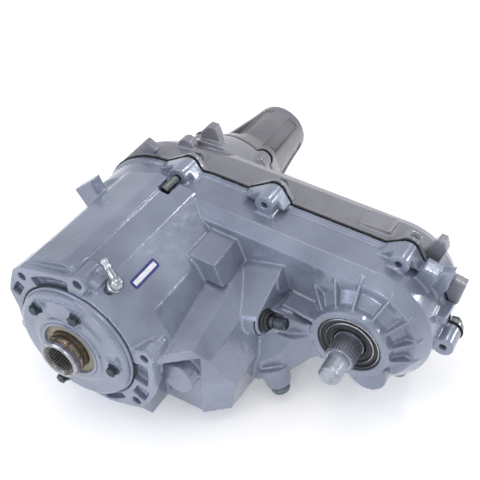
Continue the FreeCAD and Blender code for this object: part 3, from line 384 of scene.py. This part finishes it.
def solid_prism(points, y0, y1):
    """The mesh of a closed prism over an outline of x and z, between two y, all in mm."""
    bm = bmesh.new()
    ends = [[bm.verts.new(Vector((x, y, z)) * MM) for x, z in points] for y in (y0, y1)]
    bm.faces.new(ends[0])
    bm.faces.new(ends[1][::-1])
    for i in range(len(points)):
        bm.faces.new((ends[0][i - 1], ends[0][i], ends[1][i], ends[1][i - 1]))
    bmesh.ops.recalc_face_normals(bm, faces=bm.faces)
    return mesh_from(bm, "prism")


def cast(node, voxel_mm, budget, material, *added):
    """A casting with rounded edges for one CAD node; added forms melt into it."""
    whole = welded(node)
    for mesh in added:
        whole.from_mesh(mesh)
    piece = mesh_object(node + "_cast", mesh_from(whole, node + "_whole"))
    wrap = piece.modifiers.new("voxel skin", "REMESH")
    wrap.mode = "VOXEL"
    wrap.voxel_size = voxel_mm * MM
    wrap.use_smooth_shade = True
    smooth = piece.modifiers.new("sand-cast edges", "SMOOTH")
    smooth.factor = 0.5
    smooth.iterations = RELAX_STEPS
    bake_modifiers(piece)
    thin = piece.modifiers.new("thin flat places", "DECIMATE")
    thin.ratio = min(1.0, budget / triangles(piece))
    bake_modifiers(piece)
    piece.data.materials.clear()
    piece.data.materials.append(material)
    for polygon in piece.data.polygons:
        polygon.use_smooth = True
    finish_piece(piece, "case", "grey_cast_paint", node)


print("castings relax for", RELAX_STEPS, "steps")

# %% [markdown]
# ## The four castings
# The front case has a raised shoulder between its barrel and the upper flange,
# and the bearing retainer has a low shelf round its seal. Both blend into the
# casting without an edge, so they are rough forms pushed into the mesh before
# it is wrapped, and the skin then draws the fillets.

# %% Wrap the castings
RETAINER_SHELF = ((46, -4), (46, -9.6), (66.5, -9.0), (69.8, -7.4), (71.4, -4.4), (71.8, 0))
BARREL_SHOULDER = ((36, 93), (-12, 102), (-58, 87), (-88, 56), (-66, 42), (-50, 60),
                   (-26, 74), (0, 78.5), (26, 74))
SHOULDER_ENDS = (9.5, 42)

shelf = turned_mesh("retainer_shelf", RETAINER_SHELF, CENTRE, ALONG, closed=True, steps=128)
shoulder = solid_prism(BARREL_SHOULDER, *SHOULDER_ENDS)
# CAD node, voxel size in mm, most triangles, paint, added form
cast("front_case", 1.2, 195000, FRONT_PAINT, shoulder)
cast("rear_case", 1.3, 150000, REAR_PAINT)
cast("tail_housing", 1.0, 90000, TAIL_PAINT)
cast("bearing_retainer", 0.7, 70000, FRONT_PAINT, shelf)

# %% [markdown]
# ## Floor
# Such a part is shown on a plain white sweep. A curved backdrop would do, but
# the camera looks down, so a large plane just under the lowest drop of sealant
# is enough. A little emission keeps it white round the part's own shadow.

# %% Floor
FLOOR_DROP, FLOOR_SIZE = 0.0015, 8
FLOOR_Z = cad_box[0].z - FLOOR_DROP
FLOOR_MIDDLE = (0.1, 0.2, FLOOR_Z)

floor_material, tree, shader, place = new_material(
    "white_studio_floor", Roughness=0.7, Emission_Color=linear("ffffff"), Emission_Strength=0.22)
tree.links.new(ramp(tree, grain(tree, place, 400, 2.0),
                    ((0.3, linear("f1f1f1")), (0.7, linear("f7f7f7")))),
               shader.inputs["Base Color"])
bpy.ops.mesh.primitive_plane_add(size=FLOOR_SIZE, location=FLOOR_MIDDLE)
floor = bpy.context.object
floor.name = "studio_floor"
floor.data.materials.append(floor_material)
print("floor at", FLOOR_Z, "m")

# %% [markdown]
# ## Light
# A white room lights the part from all sides, a broad soft box overhead lifts
# the upper faces, a cooler one from the front left fills the flanks, and a small
# one shines into the hub. A long edge flashes only where it mirrors a lamp into
# the camera. So the place of the two smallest lamps is worked out from the way
# the edge faces, which is surer than dragging a lamp about until a line shows.

# %% Lights and world
TARGET = Vector((0.1, 0.1, 0.0))
VIEW_SIDE = Vector((0.3739, -0.6529, 0.6587))
GLINT_DISTANCE = 1.8

world = bpy.data.worlds.new("studio_world")
SCENE.world = world
world.use_nodes = True
room = world.node_tree.nodes["Background"].inputs
room["Color"].default_value = linear("f3f5fa")
room["Strength"].default_value = 0.85


def soft_box(name, place, size, watts, colour):
    """A square area light of a size in metres, aimed at the target."""
    data = bpy.data.lights.new(name, "AREA")
    data.shape = "RECTANGLE"
    data.size = data.size_y = size
    data.energy = watts
    data.color = linear(colour)[:3]
    lamp = bpy.data.objects.new(name, data)
    lamp.location = place
    lamp.rotation_euler = (TARGET - Vector(place)).to_track_quat("-Z", "Y").to_euler()
    SCENE.collection.objects.link(lamp)


def glint_place(edge_angle):
    """Where a light has to stand to shine along a Y-parallel edge that faces edge_angle."""
    across = math.sqrt(1 - VIEW_SIDE.y ** 2)
    view_angle = math.atan2(VIEW_SIDE.z, VIEW_SIDE.x)
    t = 2 * math.radians(edge_angle) - view_angle
    way = Vector((across * math.cos(t), -VIEW_SIDE.y, across * math.sin(t)))
    return TARGET + way * GLINT_DISTANCE


# name, place, size, watts, colour
soft_box("overhead", (0.0, -0.2, 1.7), 0.9, 5, "fff1e2")
soft_box("front_fill", (-0.9, -1.3, 0.9), 0.9, 7, "dfe8ff")
soft_box("hub_fill", (0.45, -1.3, 0.75), 0.3, 4, "ffffff")
soft_box("crest_glint", glint_place(65), 0.14, 3, "ffffff")
soft_box("flank_glint", glint_place(41), 0.2, 4, "ffffff")
print("lights ready")

# %% [markdown]
# ## Camera
# The part is seen from the front right and well above, a little closer than a
# catalogue would have it, so the near end looks larger than the tail. The lens
# and the place are given as numbers, and the view side is the one that the
# glint lamps were worked out for.

# %% Camera
SENSOR_WIDTH, LENS = 36, 61.05
CAMERA_PLACE = (0.44718, -0.42632, 0.66434)

camera_data = bpy.data.cameras.new("studio_camera")
camera_data.sensor_width = SENSOR_WIDTH
camera_data.lens = LENS
camera = bpy.data.objects.new("studio_camera", camera_data)
camera.location = CAMERA_PLACE
camera.rotation_euler = VIEW_SIDE.to_track_quat("Z", "Y").to_euler()
SCENE.collection.objects.link(camera)
SCENE.camera = camera
SCENE.view_settings.view_transform = "Standard"
print("camera at", CAMERA_PLACE, "with a lens of", LENS, "mm")

# %% [markdown]
# ## Sealant squeezed out of the joints
# When the halves of the case are pulled together, the silicone between them
# comes out as a bead of uneven thickness and sets black. A bead follows a path,
# so it is made with Geometry Nodes: the joint's own outline becomes a curve,
# noise makes the curve's radius uneven, and a small circle is swept along it.

# %% Where a joint shows
CASE_SEAM_Y, TAIL_SEAM_Y = 226.0, 341.0
SHARP_TURN = 1.0
IN_PLANE = 2e-5


def loop_length(points):
    """The length of a closed line."""
    return sum((points[i] - points[i - 1]).length for i in range(len(points)))


def rim_outline(node, y_mm):
    """The longest closed outline that a CAD piece has in the plane y."""
    skin = welded(node)
    near = {}
    for edge in skin.edges:
        flat = all(abs(v.co.y - y_mm * MM) < IN_PLANE for v in edge.verts)
        if flat and edge.is_manifold and edge.calc_face_angle(0) > SHARP_TURN:
            a, b = edge.verts
            near.setdefault(a.index, []).append(b.index)
            near.setdefault(b.index, []).append(a.index)
    skin.verts.ensure_lookup_table()
    loops, seen = [], set()
    for start in near:
        if start in seen:
            continue
        loop, here = [], start
        while here is not None:
            seen.add(here)
            loop.append(skin.verts[here].co.copy())
            here = next((n for n in near[here] if n not in seen), None)
        loops.append(loop)
    skin.free()
    return max(loops, key=loop_length)


def line_mesh(name, points, closed=True):
    """A line of edges through points, closed or open."""
    mesh = bpy.data.meshes.new(name)
    count = len(points)
    edges = [(i, (i + 1) % count) for i in range(count if closed else count - 1)]
    mesh.from_pydata(points, edges, [])
    return mesh


case_rim = rim_outline("case_sealant", CASE_SEAM_Y)
tail_rim = rim_outline("tail_sealant", TAIL_SEAM_Y)
print("seam outline", len(case_rim), "points; tail outline", len(tail_rim), "points")

# %% Geometry Nodes helpers


def new_tree(name, inputs):
    """A Geometry Nodes tree with named number inputs; gives its inputs and its output socket."""
    tree = bpy.data.node_groups.new(name, "GeometryNodeTree")
    tree.interface.new_socket("Geometry", in_out="INPUT", socket_type="NodeSocketGeometry")
    for title, value in inputs.items():
        kind = "NodeSocketInt" if isinstance(value, int) else "NodeSocketFloat"
        socket = tree.interface.new_socket(title, in_out="INPUT", socket_type=kind)
        socket.default_value = value
    tree.interface.new_socket("Geometry", in_out="OUTPUT", socket_type="NodeSocketGeometry")
    given = tree.nodes.new("NodeGroupInput").outputs
    return tree, given, tree.nodes.new("NodeGroupOutput").inputs[0]


def finish_tree(tree, geometry, material, target):
    """Every tree ends the same way: instances made real, then one material."""
    real = add_node(tree, "GeometryNodeRealizeInstances", {0: geometry})
    painted = add_node(tree, "GeometryNodeSetMaterial", {"Geometry": real.outputs[0]})
    painted.inputs["Material"].default_value = material
    tree.links.new(painted.outputs[0], target)


def grow(name, mesh, tree, **values):
    """Runs a tree on a mesh, with values for its named inputs, and keeps the plain mesh."""
    piece = mesh_object(name, mesh)
    modifier = piece.modifiers.new(tree.name, "NODES")
    modifier.node_group = tree
    sockets = {i.name: i.identifier for i in tree.interface.items_tree if i.in_out == "INPUT"}
    for title, value in values.items():
        modifier[sockets[title.replace("_", " ")]] = value
    return bake_modifiers(piece)


print("geometry node helpers ready")

# %% Bead tree
bead_tree, given, result = new_tree("sealant_bead", {
    "Bead Radius": 0.0012, "Unevenness": 0.0008, "Step": 0.0014, "Seed": 3})
line = add_node(bead_tree, "GeometryNodeMeshToCurve", {"Mesh": given["Geometry"]})
even = add_node(bead_tree, "GeometryNodeResampleCurve",
                {"Curve": line.outputs[0], "Length": given["Step"]}, mode="LENGTH")
lumps = add_node(bead_tree, "ShaderNodeTexNoise",
                 {"W": given["Seed"], "Scale": 110.0, "Detail": 3.0, "Roughness": 0.65},
                 noise_dimensions="4D")
swell = add_node(bead_tree, "ShaderNodeMapRange",
                 {"Value": lumps.outputs[0], 1: 0.35, 2: 0.7, 3: 0.35, 4: 1.7})
both_ways = add_node(bead_tree, "ShaderNodeVectorMath",
                     {0: lumps.outputs[1], 1: (0.5, 0.5, 0.5)}, operation="SUBTRACT")
drift = add_node(bead_tree, "ShaderNodeVectorMath",
                 {0: both_ways.outputs[0], "Scale": given["Unevenness"]}, operation="SCALE")
wander = add_node(bead_tree, "GeometryNodeSetPosition",
                  {"Geometry": even.outputs[0], "Offset": drift.outputs[0]})
thick = add_node(bead_tree, "GeometryNodeSetCurveRadius",
                 {"Curve": wander.outputs[0], "Radius": swell.outputs[0]})
section = add_node(bead_tree, "GeometryNodeCurvePrimitiveCircle",
                   {"Resolution": 8, "Radius": given["Bead Radius"]})
swept = add_node(bead_tree, "GeometryNodeCurveToMesh",
                 {"Curve": thick.outputs[0], "Profile Curve": section.outputs[0],
                  "Fill Caps": True})
finish_tree(bead_tree, swept.outputs[0], SILICONE, result)
print("bead tree has", len(bead_tree.nodes), "nodes")

# %% Beads on three joints
RETAINER_RIM_R, RETAINER_RIM_Y = 0.0743, 0.0028
RIM_STEPS = 160

retainer_rim = [Vector((RETAINER_RIM_R * math.cos(t), RETAINER_RIM_Y, RETAINER_RIM_R * math.sin(t)))
                for t in (2 * math.pi * k / RIM_STEPS for k in range(RIM_STEPS))]
for title, points, radius, seed in (("case_seam_bead", case_rim, 1.05, 3),
                                    ("retainer_bead", retainer_rim, 1.15, 8),
                                    ("tail_joint_bead", tail_rim, 0.95, 5)):
    bead = grow(title, line_mesh(title, points), bead_tree, Bead_Radius=radius * MM, Seed=seed)
    finish_piece(bead, "case", "black_sealant")

# %% [markdown]
# ## Bolts
# The bolts are hex-head flange bolts with a dark green-black coating. All of
# them are one shape, so the head is built once inside a Geometry Nodes tree: a
# six-sided bar with a low bevelled crown, on a washer face. The tree then sets
# one on every point it is given, turned by a random angle from a fixed seed,
# because no two bolts stop at the same angle.

# %% Bolt tree
WASHER_HEIGHT, CROWN_HEIGHT, CROWN_TAPER = 0.0018, 0.0009, 0.8
WASHER_SIDES = 28


def times(tree, value, factor):
    """A number in a tree multiplied by a constant."""
    return add_node(tree, "ShaderNodeMath", {0: value, 1: factor}, operation="MULTIPLY").outputs[0]


def raised(tree, geometry, height):
    """A form moved along Z by a height that the tree works out."""
    offset = add_node(tree, "ShaderNodeCombineXYZ", {"Z": height})
    return add_node(tree, "GeometryNodeTransform",
                    {"Geometry": geometry, "Translation": offset.outputs[0]}).outputs[0]


bolt_tree, given, result = new_tree("flange_bolts", {
    "Across Flats": 0.011, "Head Height": 0.0065, "Flange Radius": 0.0082,
    "Facing": 1.0, "Seed": 4})
corner = add_node(bolt_tree, "ShaderNodeMath",
                  {0: given["Across Flats"], 1: math.sqrt(3)}, operation="DIVIDE").outputs[0]
hexagon = add_node(bolt_tree, "GeometryNodeMeshCylinder",
                   {"Vertices": 6, "Radius": corner, "Depth": given["Head Height"]})
crown = add_node(bolt_tree, "GeometryNodeMeshCone",
                 {"Vertices": 6, "Radius Top": times(bolt_tree, corner, CROWN_TAPER),
                  "Radius Bottom": corner, "Depth": CROWN_HEIGHT})
washer = add_node(bolt_tree, "GeometryNodeMeshCone",
                  {"Vertices": WASHER_SIDES, "Radius Top": corner,
                   "Radius Bottom": given["Flange Radius"], "Depth": WASHER_HEIGHT})
head = add_node(bolt_tree, "GeometryNodeJoinGeometry")
for form in (raised(bolt_tree, washer.outputs[0], times(bolt_tree, given["Head Height"], -0.5)),
             hexagon.outputs[0],
             raised(bolt_tree, crown.outputs[0], times(bolt_tree, given["Head Height"], 0.5))):
    bolt_tree.links.new(form, head.inputs[0])
print("a bolt head has a washer, a hexagon and a crown")

# %% Bolt tree: one head on every point
angle = add_node(bolt_tree, "FunctionNodeRandomValue", {"Seed": given["Seed"]}, data_type="FLOAT")
angle.inputs[3].default_value = math.tau
turn = add_node(bolt_tree, "ShaderNodeCombineXYZ",
                {"X": times(bolt_tree, given["Facing"], math.pi / 2)})
spin = add_node(bolt_tree, "ShaderNodeCombineXYZ", {"Z": angle.outputs[1]})
tilt = add_node(bolt_tree, "FunctionNodeRotateRotation", {0: turn.outputs[0], 1: spin.outputs[0]},
                rotation_space="LOCAL")
placed = add_node(bolt_tree, "GeometryNodeInstanceOnPoints",
                  {"Points": given["Geometry"], "Instance": head.outputs[0],
                   "Rotation": tilt.outputs[0]})
finish_tree(bolt_tree, placed.outputs[0], BOLT_FINISH, result)


def ring_places(radius, angles):
    """(x, z) in mm of points on a circle round the Y axis."""
    return [(radius * math.cos(math.radians(a)), radius * math.sin(math.radians(a)))
            for a in angles]


def bolt_row(name, places, pad_y, facing, width, height, flange, seed, *nodes):
    """Bolts that stand on the plane pad_y and face one way; lengths in mm."""
    middle_y = pad_y - facing * height / 2
    mesh = bpy.data.meshes.new(name)
    mesh.from_pydata([Vector((x, middle_y, z)) * MM for x, z in places], [], [])
    row = grow(name, mesh, bolt_tree, Across_Flats=width * MM, Head_Height=height * MM,
               Flange_Radius=flange * MM, Facing=facing, Seed=seed)
    finish_piece(row, "case", "dark_fastener", *nodes)


print("bolt tree has", len(bolt_tree.nodes), "nodes")

# %% Set the bolts
TO_INPUT, TO_TAIL = 1.0, -1.0
RETAINER_PAD_Y, REAR_BOSS_Y, TAIL_PAD_Y = -12.5, 235.0, 351.0
RETAINER_BOLTS = ring_places(58.0, (130, 74, 1, -108))
TAIL_BOLTS = ring_places(66.0, (48, 138, 228, 318))
SEAM_BOSSES = ((121, 100), (281, 84), (345, -9), (300, -74), (190, -91),
               (80, -92), (-30, -92), (-104, -58), (-121, 8))

# name, places, seat, side, width, height, flange radius, seed, CAD node
bolt_row("retainer_hex_bolts", RETAINER_BOLTS, RETAINER_PAD_Y, TO_INPUT, 11.0, 6.4, 7.8, 4,
         "retainer_bolts")
bolt_row("case_hex_bolts", SEAM_BOSSES, REAR_BOSS_Y, TO_TAIL, 13.0, 7.4, 9.0, 9, "case_bolts")
bolt_row("tail_hex_bolts", TAIL_BOLTS, TAIL_PAD_Y, TO_TAIL, 11.0, 7.0, 8.2, 2, "tail_bolts")

# %% [markdown]
# ## Front output seal
# A lip seal is black rubber over a steel case, pressed flush into its bore, with
# its lips riding on the shaft. Two thin steel edges shine through the rubber.
# The rings are real steps in the profile, since light catches their edges,
# and two of its strips take steel instead of rubber.

# %% Front output seal
OUTPUT_X, OUTPUT_SEAL_Y = 257.175, 142.2

output_seal = lathe(
    "front_output_seal_lips",
    ((36.9, 0), (36.9, 8), (20, 8), (18.0, 6.5), (18.0, 3.2), (19.5, 1.2), (21.6, 0.4),
     (22.4, 1.8), (25.4, 2.4), (26.2, 0.9), (27.4, 0.2), (28.6, 0.9), (29.2, 2.2), (32.0, 2.2),
     (32.8, 0.4), (33.8, -0.4), (34.8, 0.2)),
    (OUTPUT_X, OUTPUT_SEAL_Y, 0), ALONG, (NITRILE, GROUND_STEEL), closed=True, steps=96,
    bands=(0, 0, 0, 0, 0, 0, 0, 0, 0, 0, 1, 0, 0, 0, 0, 1, 0))
finish_piece(output_seal, "case", "black_rubber", "front_output_seal")

# %% [markdown]
# ## Input seal
# This one is tan rubber with a soft wiping lip. The paint was sprayed with the
# seal in place, so its outer rim is silver like the casting. The same lathe
# makes it, with the rim's strips in paint.

# %% Input seal
INPUT_SEAL_Y = -14.0

input_seal = lathe(
    "input_seal_lips",
    ((36.7, -0.6), (36.7, 8.5), (26.5, 8.5), (24.6, 7.0), (24.0, 4.6), (24.6, 2.6),
     (26.2, 2.2), (27.6, 3.0), (31.0, 3.4), (32.4, 2.6), (33.0, -0.2), (34.0, -0.8)),
    (0, INPUT_SEAL_Y, 0), ALONG, (TAN_SEAL, FRONT_PAINT), closed=True, steps=96,
    bands=(1, 0, 0, 0, 0, 0, 0, 0, 0, 1, 1, 1))
finish_piece(input_seal, "case", "tan_seal", "input_seal")

# %% [markdown]
# ## Input hub
# The hub is turned, hardened and ground where the seal runs, with a groove near
# its end, and oil has stained it brown. Its CAD mesh keeps the splines, and a
# thin sleeve over it brings the groove and the bright rim. The tips of the
# internal splines are lighter, partly polished by use and partly a painted
# highlight in the shaded bore: thirty-two equal bars on a circle, which one
# Geometry Nodes tree sets and turns, and both ride on the input gear.

# %% Input hub sleeve
hub = lathe(
    "input_hub_polish",
    ((19.7, -32.5), (22.6, -32.7), (24.0, -31.4), (24.0, -27.9), (22.3, -27.5),
     (22.3, -24.6), (24.0, -24.2), (24.05, -15.0), (19.7, -15.0)),
    CENTRE, ALONG, (WARM_STEEL, GROUND_STEEL), closed=True, steps=96,
    bands=(1, 1, 1, 0, 0, 0, 0, 0, 1))
finish_piece(hub, "input_gear", "ground_steel")

# %% Spline tips: wear and a painted highlight
TIPS_MIDDLE_Y = -0.0145

spline_tree, given, result = new_tree("spline_tips", {
    "Radius": 0.0167, "Length": 0.03, "Width": 0.0013, "Count": 32})
ring = add_node(spline_tree, "GeometryNodeMeshCircle",
                {"Vertices": given["Count"], "Radius": given["Radius"]})
stand = add_node(spline_tree, "GeometryNodeTransform",
                 {"Geometry": ring.outputs[0], "Rotation": (math.pi / 2, 0, 0)})
where = add_node(spline_tree, "GeometryNodeInputPosition")
outward = add_node(spline_tree, "FunctionNodeAlignRotationToVector",
                   {"Vector": where.outputs[0]}, axis="X", pivot_axis="Y")
size = add_node(spline_tree, "ShaderNodeCombineXYZ",
                {"X": given["Width"], "Y": given["Length"], "Z": given["Width"]})
bar = add_node(spline_tree, "GeometryNodeMeshCube", {"Size": size.outputs[0]})
bars = add_node(spline_tree, "GeometryNodeInstanceOnPoints",
                {"Points": stand.outputs[0], "Instance": bar.outputs[0],
                 "Rotation": outward.outputs[0]})
seated = add_node(spline_tree, "GeometryNodeTransform",
                  {"Geometry": bars.outputs[0], "Translation": (0, TIPS_MIDDLE_Y, 0)})
# The bars take the lighter spline-tip steel: partly wear, partly a painted highlight in the shaded
# bore.
finish_tree(spline_tree, seated.outputs[0], SPLINE_STEEL, result)
tips = grow("hub_spline_tips", bpy.data.meshes.new("spline_tips"), spline_tree)
finish_piece(tips, "input_gear", "ground_steel")

# %% [markdown]
# ## Threaded stud
# One place on the seam has a stud that stands out of the front case, with a nut
# behind the joint. A thread could be a helix, but at this size only its ridged
# outline is seen, so rings of the same pitch do. The nut is one more bolt head.

# %% Stud with its thread, and the nut behind the joint
STUD_X, STUD_Z = 7, 96
THREAD_TURNS, THREAD_PITCH, THREAD_Y = 16, 1.5, 169.4
THREAD_CREST, THREAD_ROOT = 5.2, 4.5

thread = [(0, 168.0), (4.0, 168.0)]
for turn in range(THREAD_TURNS):
    crest_y = THREAD_Y + THREAD_PITCH * turn
    thread += [(THREAD_CREST, crest_y), (THREAD_ROOT, crest_y + THREAD_PITCH / 2)]
thread += [(4.4, 194.0), (3.9, 195.0), (3.9, 248.0), (0, 248.0)]
stud = lathe("threaded_stud", thread, (STUD_X, 0, STUD_Z), ALONG, (STUD_STEEL,), steps=40)
finish_piece(stud, "case", "dark_fastener", "case_stud")
bolt_row("stud_nut", [(STUD_X, STUD_Z)], REAR_BOSS_Y, TO_TAIL, 13.0, 7.8, 8.8, 6)

# %% [markdown]
# ## Breather
# The case breathes through a zinc-plated elbow that is screwed into the barrel's
# long facet: a collar, a ball, and a nipple with two barbs that points up along
# the facet. It is one fitting, so its three turned forms become one piece.

# %% Breather elbow
FACET_CREST, FACET_FOOT = Vector((36.0, 0, 93.0)), Vector((81.0, 0, 58.0))
FACET_UP = (FACET_CREST - FACET_FOOT).normalized()
FACET_OUT = Vector((FACET_UP.z, 0, -FACET_UP.x))
FACET_MIDDLE = FACET_OUT * FACET_OUT.dot(FACET_CREST)
VENT_FOOT = FACET_MIDDLE + FACET_UP * 19.0 + Vector((0, 20.6, 0))
BALL_PLACE = VENT_FOOT + FACET_OUT * 8.5
BALL_R, BALL_STEPS = 7.6, 16
NIPPLE_WAY = (FACET_UP + Vector((0, 0.31, 0))).normalized()

half_turns = [math.pi * k / BALL_STEPS for k in range(1, BALL_STEPS)]
half_circle = [(BALL_R * math.sin(t), -BALL_R * math.cos(t)) for t in half_turns]
base = lathe("vent_base",
             ((0, -8), (4.9, -8), (4.9, 0.3), (7.8, 0.3), (8.2, 1.2), (8.2, 3.2), (7.2, 4.2),
              (0, 4.2)),
             VENT_FOOT, FACET_OUT, (ZINC,), steps=40)
ball = lathe("vent_ball", [(0, -BALL_R), *half_circle, (0, BALL_R)],
             BALL_PLACE, FACET_OUT, (ZINC,), steps=40)
nipple = lathe("vent_nipple",
               ((0, 2), (4.1, 2), (4.1, 16), (5.1, 17.2), (4.2, 20.0), (4.2, 22.0),
                (5.4, 23.4), (5.2, 25.4), (4.2, 28.0), (2.6, 28.2), (2.4, 20.0), (0, 20.0)),
               BALL_PLACE, NIPPLE_WAY, (ZINC,), steps=40)
elbow = bmesh.new()
for part in (base, ball, nipple):
    elbow.from_mesh(part.data)
    bpy.data.objects.remove(part)
vent = mesh_object("vent_elbow", mesh_from(elbow, "vent_elbow"), ZINC)
finish_piece(vent, "case", "bright_zinc", "vent_fitting")

# %% [markdown]
# ## Range switch plug
# Below the sector boss a nylon plug closes the hole for the range switch. It has
# a ribbed rim and a shallow dome, and it leans outwards with its boss.

# %% Range switch plug
PLUG_SEAT, PLUG_TILT = Vector((187.2, 118, -79.0)), math.radians(17.0)
PLUG_WAY = Vector((math.sin(PLUG_TILT), 0, -math.cos(PLUG_TILT)))

plug = lathe("switch_plug_cap",
             ((0, -24), (7.8, -24), (7.8, 0.2), (11.2, 0.2), (11.6, 1.0), (11.6, 3.0),
              (10.8, 3.6), (10.8, 4.6), (11.6, 5.2), (11.4, 10.0), (10.2, 12.6), (7.6, 13.8),
              (0, 14.2)),
             PLUG_SEAT, PLUG_WAY, (GREEN_NYLON,), steps=48)
finish_piece(plug, "case", "green_plug", "switch_plug")

# %% [markdown]
# ## Sector shaft's collar and bead
# The lever shaft leaves the case through a stepped rubber collar, which stays
# still while the shaft turns. Where its boss was closed, an arc of sealant came
# out on one side, and the tree that made the long beads makes it too.

# %% Sector collar and its bead
SECTOR_FOOT, SECTOR_LEAN = Vector((166, 120, 10)), math.radians(15.0)
SECTOR_WAY = Vector((math.cos(SECTOR_LEAN), 0, math.sin(SECTOR_LEAN)))
ARC_R, ARC_BACK = 17.0, 3.4
ARC_START, ARC_STEP, ARC_POINTS = -150, 8, 24

collar = lathe("sector_collar_seal",
               ((7.05, -2), (12.4, -2), (12.4, 0.8), (13.2, 1.4), (13.2, 3.4), (12.2, 4.2),
                (10.4, 4.4), (10.4, 6.6), (9.6, 7.4), (7.6, 7.4), (7.05, 6.6)),
               SECTOR_FOOT, SECTOR_WAY, (NITRILE,), closed=True, steps=56)
finish_piece(collar, "case", "black_rubber", "sector_seal")

low_side = SECTOR_WAY.cross(Vector((0, 1, 0))).normalized()
front_side = Vector((0, -1, 0))
arc_middle = SECTOR_FOOT - SECTOR_WAY * ARC_BACK
arc_turns = [math.radians(ARC_START + ARC_STEP * k) for k in range(ARC_POINTS)]
arc = [(arc_middle + (front_side * math.cos(t) + low_side * math.sin(t)) * ARC_R) * MM
       for t in arc_turns]
bead = grow("sector_boss_bead", line_mesh("sector_boss_bead", arc, closed=False), bead_tree,
            Bead_Radius=0.9 * MM, Seed=12)
finish_piece(bead, "case", "black_sealant")

# %% [markdown]
# ## Label
# The label is a stiff film with rounded corners. A decal texture would need an
# image, so it is two thin plates on the barrel's long facet: the navy border,
# and the white panel a hair above it.

# %% Blank label
CORNER_STEPS = 4


def facet_point(y, across, height):
    """A point on the barrel's facet; across runs up towards the crest, in mm."""
    return (FACET_MIDDLE + FACET_UP * across + FACET_OUT * height + Vector((0, y, 0))) * MM


def facet_plate(bm, y_range, across_range, radius, low, high, index):
    """A thin plate with rounded corners on the facet, between two heights."""
    corners = []
    for cy, ca, start in ((y_range[1] - radius, across_range[1] - radius, 0),
                          (y_range[0] + radius, across_range[1] - radius, 90),
                          (y_range[0] + radius, across_range[0] + radius, 180),
                          (y_range[1] - radius, across_range[0] + radius, 270)):
        for step in range(CORNER_STEPS + 1):
            t = math.radians(start + 90 / CORNER_STEPS * step)
            corners.append((cy + radius * math.cos(t), ca + radius * math.sin(t)))
    below, above = [[bm.verts.new(facet_point(y, a, h)) for y, a in corners] for h in (low, high)]
    faces = [bm.faces.new(above), bm.faces.new(below[::-1])]
    for i in range(len(corners)):
        faces.append(bm.faces.new((below[i - 1], below[i], above[i], above[i - 1])))
    for face in faces:
        face.material_index = index


plate = bmesh.new()
facet_plate(plate, (37.5, 80.5), (-1.0, 10.5), 2.6, 0.0, 0.28, 0)
facet_plate(plate, (40.4, 77.6), (2.0, 7.5), 0.8, 0.1, 0.34, 1)
bmesh.ops.recalc_face_normals(plate, faces=plate.faces)
label = mesh_object("blank_label", mesh_from(plate, "blank_label"), LABEL_BORDER, LABEL_WHITE)
finish_piece(label, "case", "label_film", "id_label")

# %% [markdown]
# ## Finishes on the CAD's own pieces
# Turned and toothed parts keep their CAD mesh: the shape is already right, so
# each only gets the finish of its own metal or rubber. Most of the inner works
# is hardened steel, so that is what a piece gets when it isn't named here.

# %% Finishes by piece
FINISHES = {
    "case_sealant": SILICONE, "retainer_sealant": SILICONE, "tail_sealant": SILICONE,
    "retainer_bolts": BOLT_FINISH, "case_bolts": BOLT_FINISH, "tail_bolts": BOLT_FINISH,
    "case_stud": DARK_STEEL, "input_seal": TAN_SEAL, "sector_seal": NITRILE,
    "front_output_seal": NITRILE, "tail_seal": NITRILE,
    "front_output_shaft": SPRAYED_STEEL, "main_shaft": GROUND_STEEL, "sector_shaft": DARK_STEEL,
    "switch_plug": GREEN_NYLON, "vent_fitting": ZINC, "id_label": LABEL_WHITE,
    "fill_plug": DARK_STEEL, "drain_plug": DARK_STEEL, "tail_bushing": BRONZE,
    "sector_bushing": BRONZE, "oil_pump": PLAIN_ALUMINIUM, "drive_chain": DARK_STEEL,
}
for node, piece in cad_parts.items():
    piece.data.materials.clear()
    piece.data.materials.append(FINISHES.get(node, GEAR_STEEL))
print(len(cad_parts), "CAD pieces have a finish")
